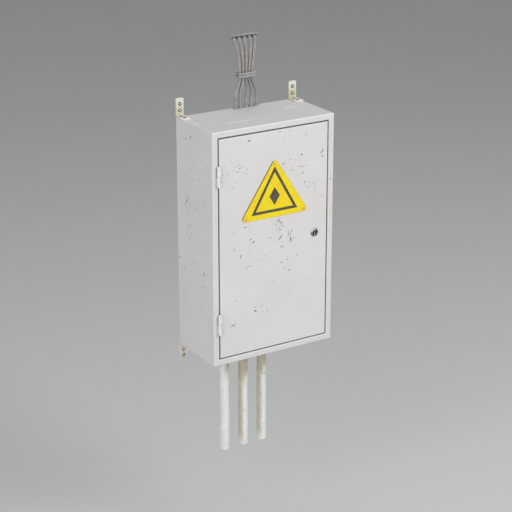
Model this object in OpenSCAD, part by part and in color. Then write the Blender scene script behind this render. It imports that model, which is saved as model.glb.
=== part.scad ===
// Wall-hung sheet-steel control panel: folded case and door, supply cables on a
// wall clip, three conduits below and rail-mounted switchgear inside.
// x points right, y points into the wall, z points up. The wall is the plane
// y = 0 and the origin is the middle of the case's back.

/* [Case] */
// Width of the case
box_w = 350; // [330:5:600]
// Height of the case
box_h = 600; // [500:10:1000]
// Depth of the case, from the wall to the front
box_d = 174; // [150:2:300]
// Thickness of the case and door sheet
sheet = 1.5; // [1.2:0.1:2]
// Outside radius of the case's long folds
fold_r = 3; // [2.2:0.1:4]
// Width of the frame left round the door
frame_w = 16; // [13:0.5:30]
// Depth of the recess that the door closes into
jamb_depth = 24; // [22:1:30]
// Width of the stop lip behind the door
stop_lip = 14; // [13:0.5:20]
// Radius ground on the four welded corners
corner_r = 2.5; // [1:0.5:3]

/* [Door] */
// Gap all round the door
door_gap = 3; // [2.5:0.1:4]
// Depth of the door's folded edge
door_depth = 18; // [14:1:20]
// Width of the door's return flange
door_return = 12; // [10:0.5:18]
// Outside radius of the door's folds
door_fold_r = 2.2; // [2.1:0.1:3]
// Clearance between the door and the seal
seal_gap = 0.3; // [0.2:0.1:1]
// Width of the foam seal
seal_w = 9; // [6:0.5:11]

/* [Hinges] */
// Outside radius of a hinge barrel
barrel_r = 3.9; // [3.5:0.1:6]
// Length of a whole hinge
hinge_len = 53; // [40:1:90]
// Radius of the hinge pin
hinge_pin_r = 2.2; // [1.5:0.1:2.5]
// Radial running clearance of pins and rotors
run_gap = 0.05; // [0.02:0.01:0.1]
// Height of the upper hinge's middle above the case's middle
hinge_up_z = 190; // [100:1:230]
// Drop of the lower hinge's middle below the case's middle
hinge_low_z = 190; // [100:1:230]

/* [Lock] */
// Distance from the door's free edge to the lock's axis
lock_inset = 37; // [32:1:60]
// Outside radius of the lock's head
lock_head_r = 9.8; // [9.6:0.1:14]
// Height of the lock's head in front of the door
lock_head_h = 3.5; // [2:0.5:6]
// Radius of the lock's threaded barrel
lock_barrel_r = 8.5; // [8.3:0.1:9.5]
// Radius of the turning core
core_r = 7.5; // [6:0.1:7.8]
// Thickness of the lock's tongue
tongue_t = 2.5; // [2:0.5:4]
// Overlap of the closed tongue on the stop lip
tongue_bite = 9; // [5:1:12]

/* [Sign plate] */
// Distance between the two lower rivets
sign_w = 170; // [100:5:220]
// Rise from the lower rivets to the top rivet
sign_h = 128; // [80:2:160]
// Radius of the plate's corners
sign_r = 8; // [6:0.5:12]
// Thickness of the plate
sign_t = 1.2; // [0.8:0.1:2]
// Height of the lower rivets above the case's middle
sign_z = 70; // [20:5:110]
// Radius of a rivet's head
rivet_r = 3.2; // [2.5:0.1:4]

/* [Wall brackets] */
// Distance between the left and right brackets
bracket_pitch = 328; // [290:2:560]
// Width of a bracket
bracket_w = 22; // [18:1:30]
// Length of the leg on the wall
wall_leg = 46.5; // [45:0.5:60]
// Length of the leg on the case
case_leg = 40; // [36:0.5:60]
// Thickness of a bracket
bracket_t = 2.5; // [2:0.5:4]
// Distance of the wall leg's first hole from the fold's outside
wall_hole_first = 16; // [14:0.5:18]
// Distance of the case leg's first hole from the fold's outside
case_hole_first = 9; // [9:0.5:14]
// Distance between a leg's two holes
hole_pitch = 16.5; // [14:0.5:18]
// Radius of the bracket holes
hole_r = 2.5; // [2:0.1:3]

/* [Conduits] */
// Outside radius of a conduit
conduit_r = 12.5; // [10:0.5:16]
// Wall of a conduit
conduit_wall = 1.5; // [1.2:0.1:2.5]
// Length of conduit below the case
conduit_drop = 305; // [100:5:600]
// Distance between conduits
conduit_pitch = 57; // [48:1:62]
// Sideways offset of the middle conduit
conduit_shift = -12; // [-30:1:30]
// Distance of the conduits from the wall
conduit_y = 45; // [30:1:60]

/* [Inside] */
// Distance from the case's side to the mounting plate
plate_side = 35; // [33:1:60]
// Distance from the case's top and bottom to the mounting plate
plate_end = 50; // [45:1:90]
// Thickness of the mounting plate
plate_t = 2; // [1.5:0.5:3]
// Distance from the wall to the back of the mounting plate
plate_back = 14; // [12:1:18]
// Distance from the plate's top to the upper rail
top_row = 85; // [80:1:110]
// Distance from the plate's bottom to the lower rail
low_row = 70; // [50:1:90]
// Width of a wiring duct
duct_w = 30; // [25:5:30]
// Height of a wiring duct off the plate
duct_h = 40; // [30:5:60]
// Number of terminals on the lower rail
terminal_count = 20; // [6:1:24]

/* [Hidden] */
$fn = 48;
eps = 0.01;

// Door opening and door
opening_w = box_w - 2 * frame_w;
opening_h = box_h - 2 * frame_w;
door_w = opening_w - 2 * door_gap;
door_h = opening_h - 2 * door_gap;
stop_y = -box_d + jamb_depth;
seal_t = jamb_depth - door_depth - seal_gap;

// Hinge axis, just outboard of the gap and clear of the frame's face
hinge_x = -box_w / 2 + frame_w + door_gap / 2 - 2.5;
barrel_gap = 0.3;
hinge_y = -box_d - barrel_r - barrel_gap;
washer_t = 1;
half_len = (hinge_len - washer_t) / 2;
pin_rise = half_len - 7;
leaf_t = 2.3;
leaf_reach = 8.5;
weld_w = 2;

// Lock
lock_x = door_w / 2 - lock_inset;
lock_back = -box_d + 20;
tongue_y = stop_y + sheet + 0.5;
tongue_len = opening_w / 2 - stop_lip + tongue_bite - lock_x;
square_a = 7;
core_tail_r = square_a / sqrt(2) + 0.15;
core_recess = 5;
key_bar_w = 3;

// Brackets
bracket_xs = [-bracket_pitch / 2, bracket_pitch / 2];
bracket_fold_r = 4;
sink_r = 4.6;
sink_depth = 1.4;
wall_hole_places = [wall_hole_first, wall_hole_first + hole_pitch];
case_hole_places = [case_hole_first, case_hole_first + hole_pitch];

// Conduits
conduit_xs = [for (i = [-1:1]) conduit_shift + i * conduit_pitch];
socket_depth = 22;
adaptor_len = 30;
adaptor_r = conduit_r + 3;
spigot_r = conduit_r - 0.1;
spigot_up = 12;
entry_gap = 0.3;
slip_gap = 0.05;
locknut_t = 5;
locknut_af = 36;

// Cables, left to right: where each leaves the wall, lies in the clip and enters the
// case, and how far it bows sideways above and below the clip
case_top = box_h / 2;
cable_r = 4;
cable_sides = 10;
cable_back = 9.5;
outlet_xs = [-12.5, 2.5, 17.5, 32.5, 47];
clip_xs = [3, 12.5, 21.2, 29.6, 38];
entry_xs = [-10, 4, 20, 35.5, 51.5];
bows_above = [3.7, 3.1, 2.1, 2.7, 0.8];
bows_below = [-3, -3, 4, 5, 5];
outlet_z = case_top + 178.5;
outlet_stub = 1;
outlet_steps = 3;
entry_straight = 6;
grommet_r = 5.2;
grommet_flange_r = 6.6;
clip_low_z = case_top + 78;
clip_h = 11;
clip_d = 15.7;
clip_straight = 3;
clip_w = clip_xs[4] - clip_xs[0] + 12.4;
clip_mid_x = (clip_xs[0] + clip_xs[4]) / 2;
hood_left = outlet_xs[0] - 7.5;
hood_right = outlet_xs[4] + 6;
hood_top = outlet_z + 6;
hood_d = 10.5;

// Mounting plate and what stands on it
plate_w = box_w - 2 * plate_side;
plate_h = box_h - 2 * plate_end;
plate_front = plate_back + plate_t;
stud_x = plate_w / 2 - 12;
stud_z = plate_h / 2 - 12;
stud_r = 4;
stud_collar_r = 7;
rail_h = 35;
rail_depth = 7.5;
rail_front = plate_front + rail_depth;
row_upper = plate_h / 2 - top_row;
row_lower = -plate_h / 2 + low_row;
row_middle = (row_upper + row_lower) / 2;
duct_x = plate_w / 2 - 3 - duct_w / 2;
duct_wall = 1.5;
duct_len = plate_h - 50;
slot_w = 5;
slot_pitch = 10;
slot_floor = 10;
cover_wall = 1.2;
cover_lip = 7;
cover_fit = 0.1;
rail_len = 2 * (duct_x - duct_w / 2 - 4);
rail_screw_x = rail_len / 2 - 8;
cross_len = 2 * (duct_x - duct_w / 2 - cover_fit - cover_wall) - 1;
breaker_half = 42.5;
contactor_half = 38;
terminal_half = 22;
cross_zs = [(row_upper - breaker_half + row_middle + contactor_half) / 2,
            (row_middle - contactor_half + row_lower + terminal_half) / 2];
module_pitch = 18;
module_gap = 0.3;
main_x = 6;
main_poles = 4;
breaker_count = 4;
breaker_last_x = main_x - (main_poles + 1) * module_pitch / 2 - 0.2;
screw_well_z = 33;
wire_hole_f = 25.5;
wire_hole_r = cable_r + 0.2;
contactor_xs = [-62, -12];
contactor_w = 45;
terminal_pitch = 6.2;
terminal_w = 6;
lever_f = 50;
hub_r = 8;
hub_gap = 0.4;
hub_sides = 9;
trunnion_r = 1.5;
lever_angle = 38;
slider_w = 12;
slider_h = 16;
slider_gap = 0.15;
slider_depth = 15;
earth_x = 77.5;
earth_z = row_upper + 67;
earth_w = 54;
earth_h = 12;
earth_t = 10;
earth_front = 42;
earth_pitch = 13.5;

earth_hole_xs = [for (i = [0:3]) earth_x + (i - 1.5) * earth_pitch];
earth_post_xs = [for (i = [0, 2]) earth_hole_xs[i] + earth_pitch / 2];

// Where the cables end: four in the main switch, the last in the earth bar
terminal_xs = concat([for (i = [0:main_poles - 1])
    main_x + (i - (main_poles - 1) / 2) * module_pitch], [earth_hole_xs[0]]);
terminal_ys = [for (i = [0:4])
    i < 4 ? -rail_front - wire_hole_f : -earth_front + earth_t / 2];
terminal_zs = [for (i = [0:4]) i < 4 ? row_upper + breaker_half - 7.5 : earth_z + 2];

// Route of one cable: out of the wall, down through the clip and into the case
function ease(t) = t * t * (3 - 2 * t);
function mix(a, b, t) = a + (b - a) * t;
function stretch(p, q, bow, n) = [for (k = [1:n]) let (t = k / n)
    [mix(p[0], q[0], ease(t)) + bow * sin(180 * t) ^ 2,
     mix(p[1], q[1], ease(t)), mix(p[2], q[2], t)]];
function fan(p, q, bow, n) = [for (k = [1:n]) let (t = k / n)
    [mix(p[0], q[0], t) + bow * sin(180 * t ^ 0.8), q[1], mix(p[2], q[2], t)]];
function outlet_bend(x) = let (r = cable_back - outlet_stub)
    [for (k = [0:outlet_steps]) let (a = 90 * k / outlet_steps)
        [x, -outlet_stub - r * sin(a), outlet_z - r * (1 - cos(a))]];
function cable_route(i) =
    let (bent = outlet_bend(outlet_xs[i]),
         over = [clip_xs[i], -cable_back, clip_low_z + clip_h + clip_straight],
         under = [clip_xs[i], -cable_back, clip_low_z - clip_straight],
         above = [entry_xs[i], -cable_back, case_top + entry_straight + 3],
         below = [entry_xs[i], -cable_back, case_top - entry_straight],
         last = [terminal_xs[i], terminal_ys[i], terminal_zs[i]],
         mouth = last + [0, 0, 12])
    concat([[outlet_xs[i], 0, outlet_z]], bent, fan(bent[outlet_steps], over, bows_above[i], 5),
        [under], stretch(under, above, bows_below[i], 5), [below],
        stretch(below, mouth, 0, 5), [last]);

// ---- Shapes that several pieces share ----

// Rectangle with true arcs at its corners
module rounded_rect(w, h, r) {
    square([w - 2 * r, h], center = true);
    square([w, h - 2 * r], center = true);
    for (x = [-1, 1], y = [-1, 1])
        translate([x * (w / 2 - r), y * (h / 2 - r)]) circle(r = r);
}

// Quarter of a bent sheet's section, centred on the bend, on the sides sx and sy
module bend(r, t, sx, sy) {
    intersection() {
        difference() {
            circle(r = r);
            circle(r = r - t);
        }
        translate([min(0, sx * (r + 1)), min(0, sy * (r + 1))]) square(r + 1);
    }
}

// One side of a folded ring: the section runs along z and is mitred at both ends
module ring_side(w, h, reach) {
    intersection() {
        translate([-w / 2, 0, 0]) linear_extrude(height = h, center = true) children();
        rotate([90, 0, 0]) linear_extrude(height = 4 * box_d, center = true)
            polygon([[-w / 2, -h / 2], [-w / 2 + reach, -h / 2 + reach],
                     [-w / 2 + reach, h / 2 - reach], [-w / 2, h / 2]]);
    }
}

// Four mitred sides round the y axis; the section's x runs inwards, its y backwards
module folded_ring(w, h, reach) {
    for (m = [0, 1]) {
        mirror([m, 0, 0]) ring_side(w, h, reach) children();
        mirror([0, 0, m]) rotate([0, 90, 0]) ring_side(h, w, reach) children();
    }
}

// Extrudes a section drawn as [forward, up] sideways, centred on x = 0
module sideways(w) {
    rotate([90, 0, -90]) linear_extrude(height = w, center = true) children();
}

// Plate standing in the xz plane, its front face at y = -front
module wall_plate(front, t) {
    translate([0, t - front, 0]) rotate([90, 0, 0]) linear_extrude(height = t) children();
}

// Round bar along y, from y = -front to y = -back
module rod_y(r, front, back) {
    translate([0, -back, 0]) rotate([90, 0, 0]) cylinder(r = r, h = front - back);
}

// Hexagonal prism along z
module hex(af, h) {
    cylinder(r = af / sqrt(3), h = h, $fn = 6);
}

function mirrored(half) =
    concat(half, [for (i = [len(half) - 1:-1:0]) [half[i][0], -half[i][1]]]);

function unit(v) = v / norm(v);
function run_of(p, i) = unit(p[min(i + 1, len(p) - 1)] - p[max(i - 1, 0)]);

// Round tube swept along a list of points
module tube(p, r, sides) {
    n = len(p);
    rings = [for (i = [0:n - 1])
        let (d = run_of(p, i), a = unit([1, 0, 0] - d * d[0]), b = cross(d, a))
        for (k = [0:sides - 1])
            p[i] + r * (cos(360 * k / sides) * a + sin(360 * k / sides) * b)];
    walls = [for (i = [0:n - 2], k = [0:sides - 1])
        let (q = (k + 1) % sides)
        [i * sides + k, (i + 1) * sides + k, (i + 1) * sides + q, i * sides + q]];
    caps = [[for (k = [0:sides - 1]) k], [for (k = [sides - 1:-1:0]) (n - 1) * sides + k]];
    polyhedron(points = rings, faces = concat(walls, caps), convexity = 4);
}

// ---- Case ----

// Section of one side of the case, from the back fold round to the stop lip
module case_section() {
    back_stub = 12;
    translate([0, fold_r]) square([sheet, box_d - 2 * fold_r]);
    translate([fold_r, fold_r]) bend(fold_r, sheet, -1, -1);
    translate([fold_r, 0]) square([frame_w - 2 * fold_r, sheet]);
    translate([frame_w - fold_r, fold_r]) bend(fold_r, sheet, 1, -1);
    translate([frame_w - sheet, fold_r])
        square([sheet, jamb_depth - 2 * fold_r + sheet]);
    translate([frame_w + fold_r - sheet, jamb_depth + sheet - fold_r])
        bend(fold_r, sheet, -1, 1);
    translate([frame_w + fold_r - sheet, jamb_depth])
        square([stop_lip - fold_r + sheet, sheet]);
    translate([fold_r, box_d - fold_r]) bend(fold_r, sheet, -1, 1);
    translate([fold_r, box_d - sheet]) square([back_stub, sheet]);
}

module case() {
    color("gainsboro") difference() {
        union() {
            intersection() {
                translate([0, -box_d, 0])
                    folded_ring(box_w, box_h, frame_w + stop_lip + 5) case_section();
                rotate([90, 0, 0]) linear_extrude(height = 4 * box_d, center = true)
                    rounded_rect(box_w, box_h, corner_r);
            }
            translate([-box_w / 2 + fold_r + 8, -sheet, -box_h / 2 + fold_r + 8])
                cube([box_w - 2 * fold_r - 16, sheet, box_h - 2 * fold_r - 16]);
            for (x = [-stud_x, stud_x], z = [-stud_z, stud_z]) translate([x, 0, z]) {
                rod_y(stud_collar_r, plate_back, sheet / 2);
                rod_y(stud_r, plate_front + 10, sheet / 2);
            }
        }
        for (x = conduit_xs) translate([x, -conduit_y, -box_h / 2 - 1])
            cylinder(r = spigot_r + entry_gap, h = sheet + 2);
        for (x = entry_xs) translate([x, -cable_back, box_h / 2 - sheet - 1])
            cylinder(r = grommet_r, h = sheet + 2);
        for (x = bracket_xs, o = case_hole_places, m = [0, 1])
            mirror([0, 0, m]) translate([x, -o, box_h / 2 - sheet - 1])
                cylinder(r = hole_r, h = sheet + 2);
    }
}

// ---- Door ----

module door_section() {
    face_stub = 12;
    translate([door_fold_r, 0]) square([face_stub, sheet]);
    translate([door_fold_r, door_fold_r]) bend(door_fold_r, sheet, -1, -1);
    translate([0, door_fold_r]) square([sheet, door_depth - 2 * door_fold_r]);
    translate([door_fold_r, door_depth - door_fold_r]) bend(door_fold_r, sheet, -1, 1);
    translate([door_fold_r, door_depth - sheet])
        square([door_return - door_fold_r, sheet]);
}

module door() {
    color("whitesmoke") difference() {
        union() {
            translate([0, -box_d, 0]) folded_ring(door_w, door_h, 20) door_section();
            translate([-door_w / 2 + 10, -box_d, -door_h / 2 + 10])
                cube([door_w - 20, sheet, door_h - 20]);
        }
        translate([lock_x, 0, 0]) rod_y(lock_barrel_r + 0.1, box_d + 1, box_d - 5);
        for (p = sign_corners) translate([p[0], 0, p[1]])
            rod_y(rivet_r / 2 + 0.05, box_d + 1, box_d - 5);
    }
}

module door_seal() {
    outer_w = opening_w - 4;
    outer_h = opening_h - 4;
    color("dimgray") wall_plate(-stop_y + seal_t, seal_t) difference() {
        rounded_rect(outer_w, outer_h, 3);
        square([outer_w - 2 * seal_w, outer_h - 2 * seal_w], center = true);
    }
}

// ---- Hinges ----

// Barrel of one half, upright, with a rounded end at the top
module barrel(bore_r) {
    round_r = 1.5;
    rotate_extrude() {
        translate([bore_r, 0]) square([barrel_r - bore_r, half_len - round_r]);
        translate([bore_r, half_len - round_r - eps])
            square([barrel_r - round_r - bore_r, round_r + eps]);
        translate([barrel_r - round_r, half_len - round_r]) circle(r = round_r);
    }
}

// Frame half: barrel below the washer, its fixed pin standing up, welded at the left
module hinge_frame_half() {
    rotate([180, 0, 0]) barrel(0);
    cylinder(r = hinge_pin_r, h = washer_t + pin_rise);
    translate([-barrel_r, barrel_r + barrel_gap - leaf_t, -half_len + 4])
        cube([barrel_r, leaf_t, half_len - 5]);
}

// Door half: barrel above the washer, bored for the pin, leaf welded to the door
module hinge_door_half() {
    difference() {
        union() {
            barrel(0);
            translate([0, barrel_r - leaf_t, 1]) cube([leaf_reach, leaf_t, half_len - 5]);
            translate([leaf_reach - weld_w, barrel_r - eps, 1])
                cube([weld_w, barrel_gap + eps, half_len - 5]);
        }
        translate([0, 0, -1]) cylinder(r = hinge_pin_r + run_gap, h = pin_rise + 1.5);
    }
}

module at_hinges() {
    for (z = [hinge_up_z, -hinge_low_z]) translate([hinge_x, hinge_y, z]) children();
}

module hinge_frame_halves() {
    color("white") at_hinges() translate([0, 0, -washer_t / 2]) hinge_frame_half();
}

module hinge_door_halves() {
    color("white") at_hinges() translate([0, 0, washer_t / 2]) hinge_door_half();
}

module hinge_washers() {
    color("goldenrod") at_hinges() difference() {
        cylinder(r = barrel_r - 0.3, h = washer_t - 0.2, center = true);
        cylinder(r = hinge_pin_r + run_gap, h = washer_t + 1, center = true);
    }
}

// ---- Lock ----

module lock_body() {
    front = box_d + lock_head_h;
    color("silver") translate([lock_x, 0, 0]) difference() {
        union() {
            translate([0, -box_d, 0]) rotate([90, 0, 0]) rotate_extrude() {
                square([lock_head_r - 1, lock_head_h]);
                square([lock_head_r, lock_head_h - 1]);
                translate([lock_head_r - 1, lock_head_h - 1]) circle(r = 1);
            }
            rod_y(lock_barrel_r, box_d + 0.5, -lock_back);
        }
        rod_y(core_r + run_gap, front + 1, -lock_back + 3);
        rod_y(core_tail_r + run_gap, box_d, -lock_back - 1);
    }
}

module lock_nut() {
    nut_t = 4;
    color("silver") translate([lock_x, -box_d + sheet, 0]) rotate([-90, 0, 0]) difference() {
        hex(22, nut_t);
        translate([0, 0, -1]) cylinder(r = lock_barrel_r + 0.05, h = nut_t + 2);
    }
}

// Turning core: hollow face with one upright bar, square tail for the tongue
module lock_core() {
    face = box_d + lock_head_h - 1;
    color("darkslategray") translate([lock_x, 0, 0]) {
        difference() {
            union() {
                rod_y(core_r, face, -lock_back + 3.2);
                rod_y(core_tail_r, -lock_back + 4, -tongue_y + 0.2);
                translate([-square_a / 2, tongue_y - 0.3, -square_a / 2])
                    cube([square_a, tongue_t + 0.3, square_a]);
            }
            rod_y(core_r - 1.2, face + 1, face - core_recess);
            rod_y(2.05, -tongue_y + 8, -tongue_y - tongue_t - 1);
        }
        intersection() {
            translate([-key_bar_w / 2, -face + 0.5, -core_r])
                cube([key_bar_w, core_recess, 2 * core_r]);
            rod_y(core_r - 0.6, face, face - core_recess - 1);
        }
    }
}

// Tongue: hangs down when open and turns behind the stop lip to lock
module lock_tongue() {
    w = 16;
    color("silver") translate([lock_x, 0, 0]) wall_plate(-tongue_y, tongue_t) difference() {
        union() {
            circle(r = w / 2 + 1);
            translate([-w / 2, -tongue_len + 3]) square([w, tongue_len - 3]);
            translate([-w / 2 + 3, -tongue_len]) square([w - 6, tongue_len]);
            for (x = [-1, 1]) translate([x * (w / 2 - 3), -tongue_len + 3]) circle(r = 3);
        }
        square(square_a + 0.1, center = true);
    }
}

module tongue_screw() {
    head_r = 5.5;
    head_h = 3;
    top = -tongue_y - tongue_t;
    color("silver") translate([lock_x, 0, 0]) difference() {
        union() {
            rod_y(head_r, top, top - head_h);
            rod_y(2, top + 7, top - 1);
        }
        translate([0, -top + head_h + 1, 0]) rotate([90, 0, 0]) hex(4, 3);
    }
}

// ---- Sign plate ----

sign_corners = [[-sign_w / 2, sign_z], [sign_w / 2, sign_z], [0, sign_z + sign_h]];

// Outline of a triangle with its corners rounded about the points c
function corner_start(c, i) =
    let (d = c[i] - c[(i + 2) % 3]) atan2(d[1], d[0]) - 90;
function rounded_outline(c, r, steps) = [for (i = [0:2], k = [0:steps])
    c[i] + r * [cos(corner_start(c, i) + k * corner_turn(c, i) / steps),
                sin(corner_start(c, i) + k * corner_turn(c, i) / steps)]];
function corner_turn(c, i) =
    (corner_start(c, (i + 1) % 3) - corner_start(c, i) + 720) % 360;

module sign_plate() {
    front = box_d + sign_t;
    color("gold") wall_plate(front, sign_t) difference() {
        polygon(rounded_outline(sign_corners, sign_r, 10));
        for (p = sign_corners) translate(p) circle(r = rivet_r / 2 + 0.05);
    }
}

module sign_rivets() {
    head_h = 1.4;
    top = box_d + sign_t;
    color("gainsboro") for (p = sign_corners) translate([p[0], -top, p[1]])
        rotate([90, 0, 0]) {
            rotate_extrude() intersection() {
                translate([0, head_h - (rivet_r ^ 2 + head_h ^ 2) / (2 * head_h)])
                    circle(r = (rivet_r ^ 2 + head_h ^ 2) / (2 * head_h));
                square([rivet_r, head_h]);
            }
            translate([0, 0, -sign_t - sheet - 1.2]) cylinder(r = rivet_r / 2, h = 4);
            translate([0, 0, -sign_t - sheet - 1.2]) cylinder(r = rivet_r - 0.6, h = 1.2);
        }
}

// ---- Wall brackets ----

// One leg's outline from the fold to its rounded end
module leg_outline(length) {
    end_r = 4;
    translate([-bracket_w / 2, bracket_fold_r])
        square([bracket_w, length - end_r - bracket_fold_r]);
    translate([-bracket_w / 2 + end_r, bracket_fold_r])
        square([bracket_w - 2 * end_r, length - bracket_fold_r]);
    for (x = [-1, 1]) translate([x * (bracket_w / 2 - end_r), length - end_r])
        circle(r = end_r);
}

// Countersunk hole down through a leg lying on z = 0
module sunk_hole() {
    translate([0, 0, -1]) cylinder(r = hole_r, h = bracket_t + 2);
    translate([0, 0, bracket_t - sink_depth])
        cylinder(r1 = hole_r, r2 = sink_r, h = sink_depth);
    translate([0, 0, bracket_t]) cylinder(r = sink_r, h = 1);
}

// Bracket with one leg on the wall (up) and one on the case (towards -y)
module bracket() {
    difference() {
        union() {
            rotate([90, 0, 0]) linear_extrude(height = bracket_t) leg_outline(wall_leg);
            mirror([0, 1, 0]) linear_extrude(height = bracket_t) leg_outline(case_leg);
            translate([0, -bracket_fold_r, bracket_fold_r])
                sideways(bracket_w) bend(bracket_fold_r, bracket_t, -1, -1);
        }
        for (o = case_hole_places) translate([0, -o, 0]) sunk_hole();
        for (o = wall_hole_places) translate([0, 0, o]) rotate([90, 0, 0]) sunk_hole();
    }
}

// Side 0 is left and 1 is right; end 0 is the top and 1 the bottom
module bracket_at(side, end) {
    color("antiquewhite") mirror([0, 0, end])
        translate([bracket_xs[side], 0, box_h / 2]) bracket();
}

module at_case_holes() {
    for (x = bracket_xs, o = case_hole_places, m = [0, 1])
        mirror([0, 0, m]) translate([x, -o, box_h / 2]) children();
}

module bracket_screws() {
    fit = 0.1;
    color("silver") at_case_holes() difference() {
        union() {
            translate([0, 0, bracket_t - sink_depth])
                cylinder(r1 = hole_r - fit, r2 = sink_r - fit, h = sink_depth);
            translate([0, 0, -sheet - 7])
                cylinder(r = hole_r - fit, h = 7 + sheet + bracket_t - sink_depth);
        }
        translate([0, 0, bracket_t]) cube([1, 2 * sink_r, 1.6], center = true);
    }
}

module bracket_nuts() {
    nut_h = 4;
    color("silver") at_case_holes() translate([0, 0, -sheet - nut_h]) difference() {
        hex(8, nut_h);
        translate([0, 0, -1]) cylinder(r = hole_r, h = nut_h + 2);
    }
}

// ---- Conduits ----

module conduit(i) {
    length = conduit_drop - adaptor_len + socket_depth;
    color("white") translate([conduit_xs[i - 1], -conduit_y, -box_h / 2 - conduit_drop])
        difference() {
            union() {
                translate([0, 0, 0.8]) cylinder(r = conduit_r, h = length - 0.8);
                cylinder(r1 = conduit_r - 0.6, r2 = conduit_r, h = 0.8);
            }
            translate([0, 0, -1]) cylinder(r = conduit_r - conduit_wall, h = length + 2);
        }
}

// Adaptor: socket for the conduit, flange on the case, threaded spigot inside
module conduit_adaptors() {
    flange_t = 3;
    bore = conduit_r - conduit_wall - 0.5;
    color("white") for (x = conduit_xs) translate([x, -conduit_y, -box_h / 2]) difference() {
        union() {
            translate([0, 0, -adaptor_len]) cylinder(r = adaptor_r, h = adaptor_len);
            translate([0, 0, -flange_t]) cylinder(r = adaptor_r + 3, h = flange_t);
            cylinder(r = spigot_r, h = spigot_up);
        }
        translate([0, 0, -adaptor_len - 1])
            cylinder(r = conduit_r + slip_gap, h = socket_depth + 1.2);
        translate([0, 0, -adaptor_len]) cylinder(r = bore, h = adaptor_len + spigot_up + 1);
    }
}

module conduit_locknuts() {
    color("white") for (x = conduit_xs)
        translate([x, -conduit_y, -box_h / 2 + sheet]) difference() {
            hex(locknut_af, locknut_t);
            translate([0, 0, -1]) cylinder(r = spigot_r + 0.05, h = locknut_t + 2);
        }
}

// ---- Supply cables and what holds them ----

// Rubber grommet snapped in the case's top, flared round each cable
module cable_grommets() {
    lip = 1.6;
    neck = grommet_r - 0.1;
    bore = cable_r + 0.05;
    color("dimgray") for (x = entry_xs) translate([x, -cable_back, box_h / 2 - sheet])
        rotate_extrude() {
            translate([bore, -lip]) square([grommet_flange_r - bore, lip - 0.05]);
            translate([bore, -0.1]) square([neck - bore, sheet + 0.2]);
            translate([bore, sheet + 0.05]) polygon([[0, 0], [grommet_flange_r - bore, 0],
                [grommet_flange_r - bore, lip], [0.9, lip + 3.5], [0, lip + 3.5]]);
        }
}

module supply_cable(i) {
    color("gray") tube(cable_route(i - 1), cable_r, cable_sides);
}

// Clip base: strip on the wall with two pierced ends
module clip_base() {
    t = 2;
    x0 = clip_mid_x - clip_w / 2;
    color("gray") difference() {
        translate([x0, -clip_d + t + 0.05, clip_low_z]) cube([clip_w, clip_d - t - 0.05, clip_h]);
        translate([x0 + t, -clip_d, clip_low_z - 1])
            cube([clip_w - 2 * t, clip_d - t, clip_h + 2]);
        translate([x0 - 1, -clip_d + 2 * t, clip_low_z + 4])
            cube([clip_w + 2, clip_d - 4 * t, clip_h - 8]);
    }
}

// Clip cover: channel across the front of the cables
module clip_cover() {
    t = 2;
    flange = 3;
    x0 = clip_mid_x - clip_w / 2;
    color("gray") difference() {
        translate([x0, -clip_d - flange, clip_low_z]) cube([clip_w, flange + t, clip_h]);
        translate([x0 - 1, -clip_d - flange - 1, clip_low_z + t])
            cube([clip_w + 2, flange + 1, clip_h - 2 * t]);
    }
}

// Hood over the outlet where the cables leave the wall
module wall_hood() {
    t = 1.5;
    brow = 3;
    skirt = 9.5;
    width = hood_right - hood_left;
    color("darkgray") translate([hood_left, 0, hood_top]) difference() {
        union() {
            translate([0, -hood_d, -t]) cube([width, hood_d, t]);
            translate([0, -hood_d, -brow]) cube([width, t, brow]);
            translate([0, -t, -brow - skirt]) cube([width, t, brow + skirt]);
            for (x = [0, width - t]) translate([x, -hood_d, -skirt]) cube([t, hood_d, skirt]);
        }
        for (x = outlet_xs) translate([x - hood_left, 0, outlet_z - hood_top])
            rod_y(cable_r + 0.3, hood_d - 3, -1);
    }
}

// ---- Mounting plate, rails and ducts ----

module mounting_plate() {
    color("lightgray") wall_plate(plate_front, plate_t) difference() {
        rounded_rect(plate_w, plate_h, 4);
        for (x = [-stud_x, stud_x], z = [-stud_z, stud_z])
            translate([x, z]) circle(r = stud_r + 0.3);
        for (z = [row_upper, row_middle, row_lower], x = [-rail_screw_x, rail_screw_x])
            translate([x, z]) circle(r = 2.1);
        for (x = earth_post_xs) translate([x, earth_z]) circle(r = 2.1);
    }
}

module plate_nuts() {
    nut_h = 6.5;
    color("silver") for (x = [-stud_x, stud_x], z = [-stud_z, stud_z])
        translate([x, -plate_front, z]) rotate([90, 0, 0]) difference() {
            union() {
                cylinder(r = 8, h = 1.6);
                hex(13, nut_h);
            }
            translate([0, 0, -1]) cylinder(r = stud_r + 0.05, h = nut_h + 2);
        }
}

// Top-hat rail with its fixing holes
module rail(z) {
    t = 1;
    foot = 25;
    flange = (rail_h - foot) / 2 + t;
    color("lightgray") translate([0, -plate_front, z]) difference() {
        sideways(rail_len) {
            translate([0, -foot / 2]) square([t, foot]);
            for (m = [0, 1]) mirror([0, m]) {
                translate([0, foot / 2 - t]) square([rail_depth, t]);
                translate([rail_depth - t, foot / 2 - t]) square([t, flange]);
            }
        }
        for (x = [-rail_screw_x, rail_screw_x]) translate([x, 0, 0]) rod_y(2.6, 3, -1);
    }
}

module rail_screws() {
    head_top = 3.6;
    slot = [6, 2, 1];
    color("silver") for (z = [row_upper, row_middle, row_lower])
        for (x = [-rail_screw_x, rail_screw_x])
            translate([x, -plate_front, z]) difference() {
                union() {
                    rod_y(4.2, head_top, 1);
                    rod_y(2, head_top - 0.6, -plate_t - 4);
                }
                for (turn = [0, 90]) rotate([0, turn, 0])
                    translate([0, -head_top, 0]) cube(slot, center = true);
            }
}

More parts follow.
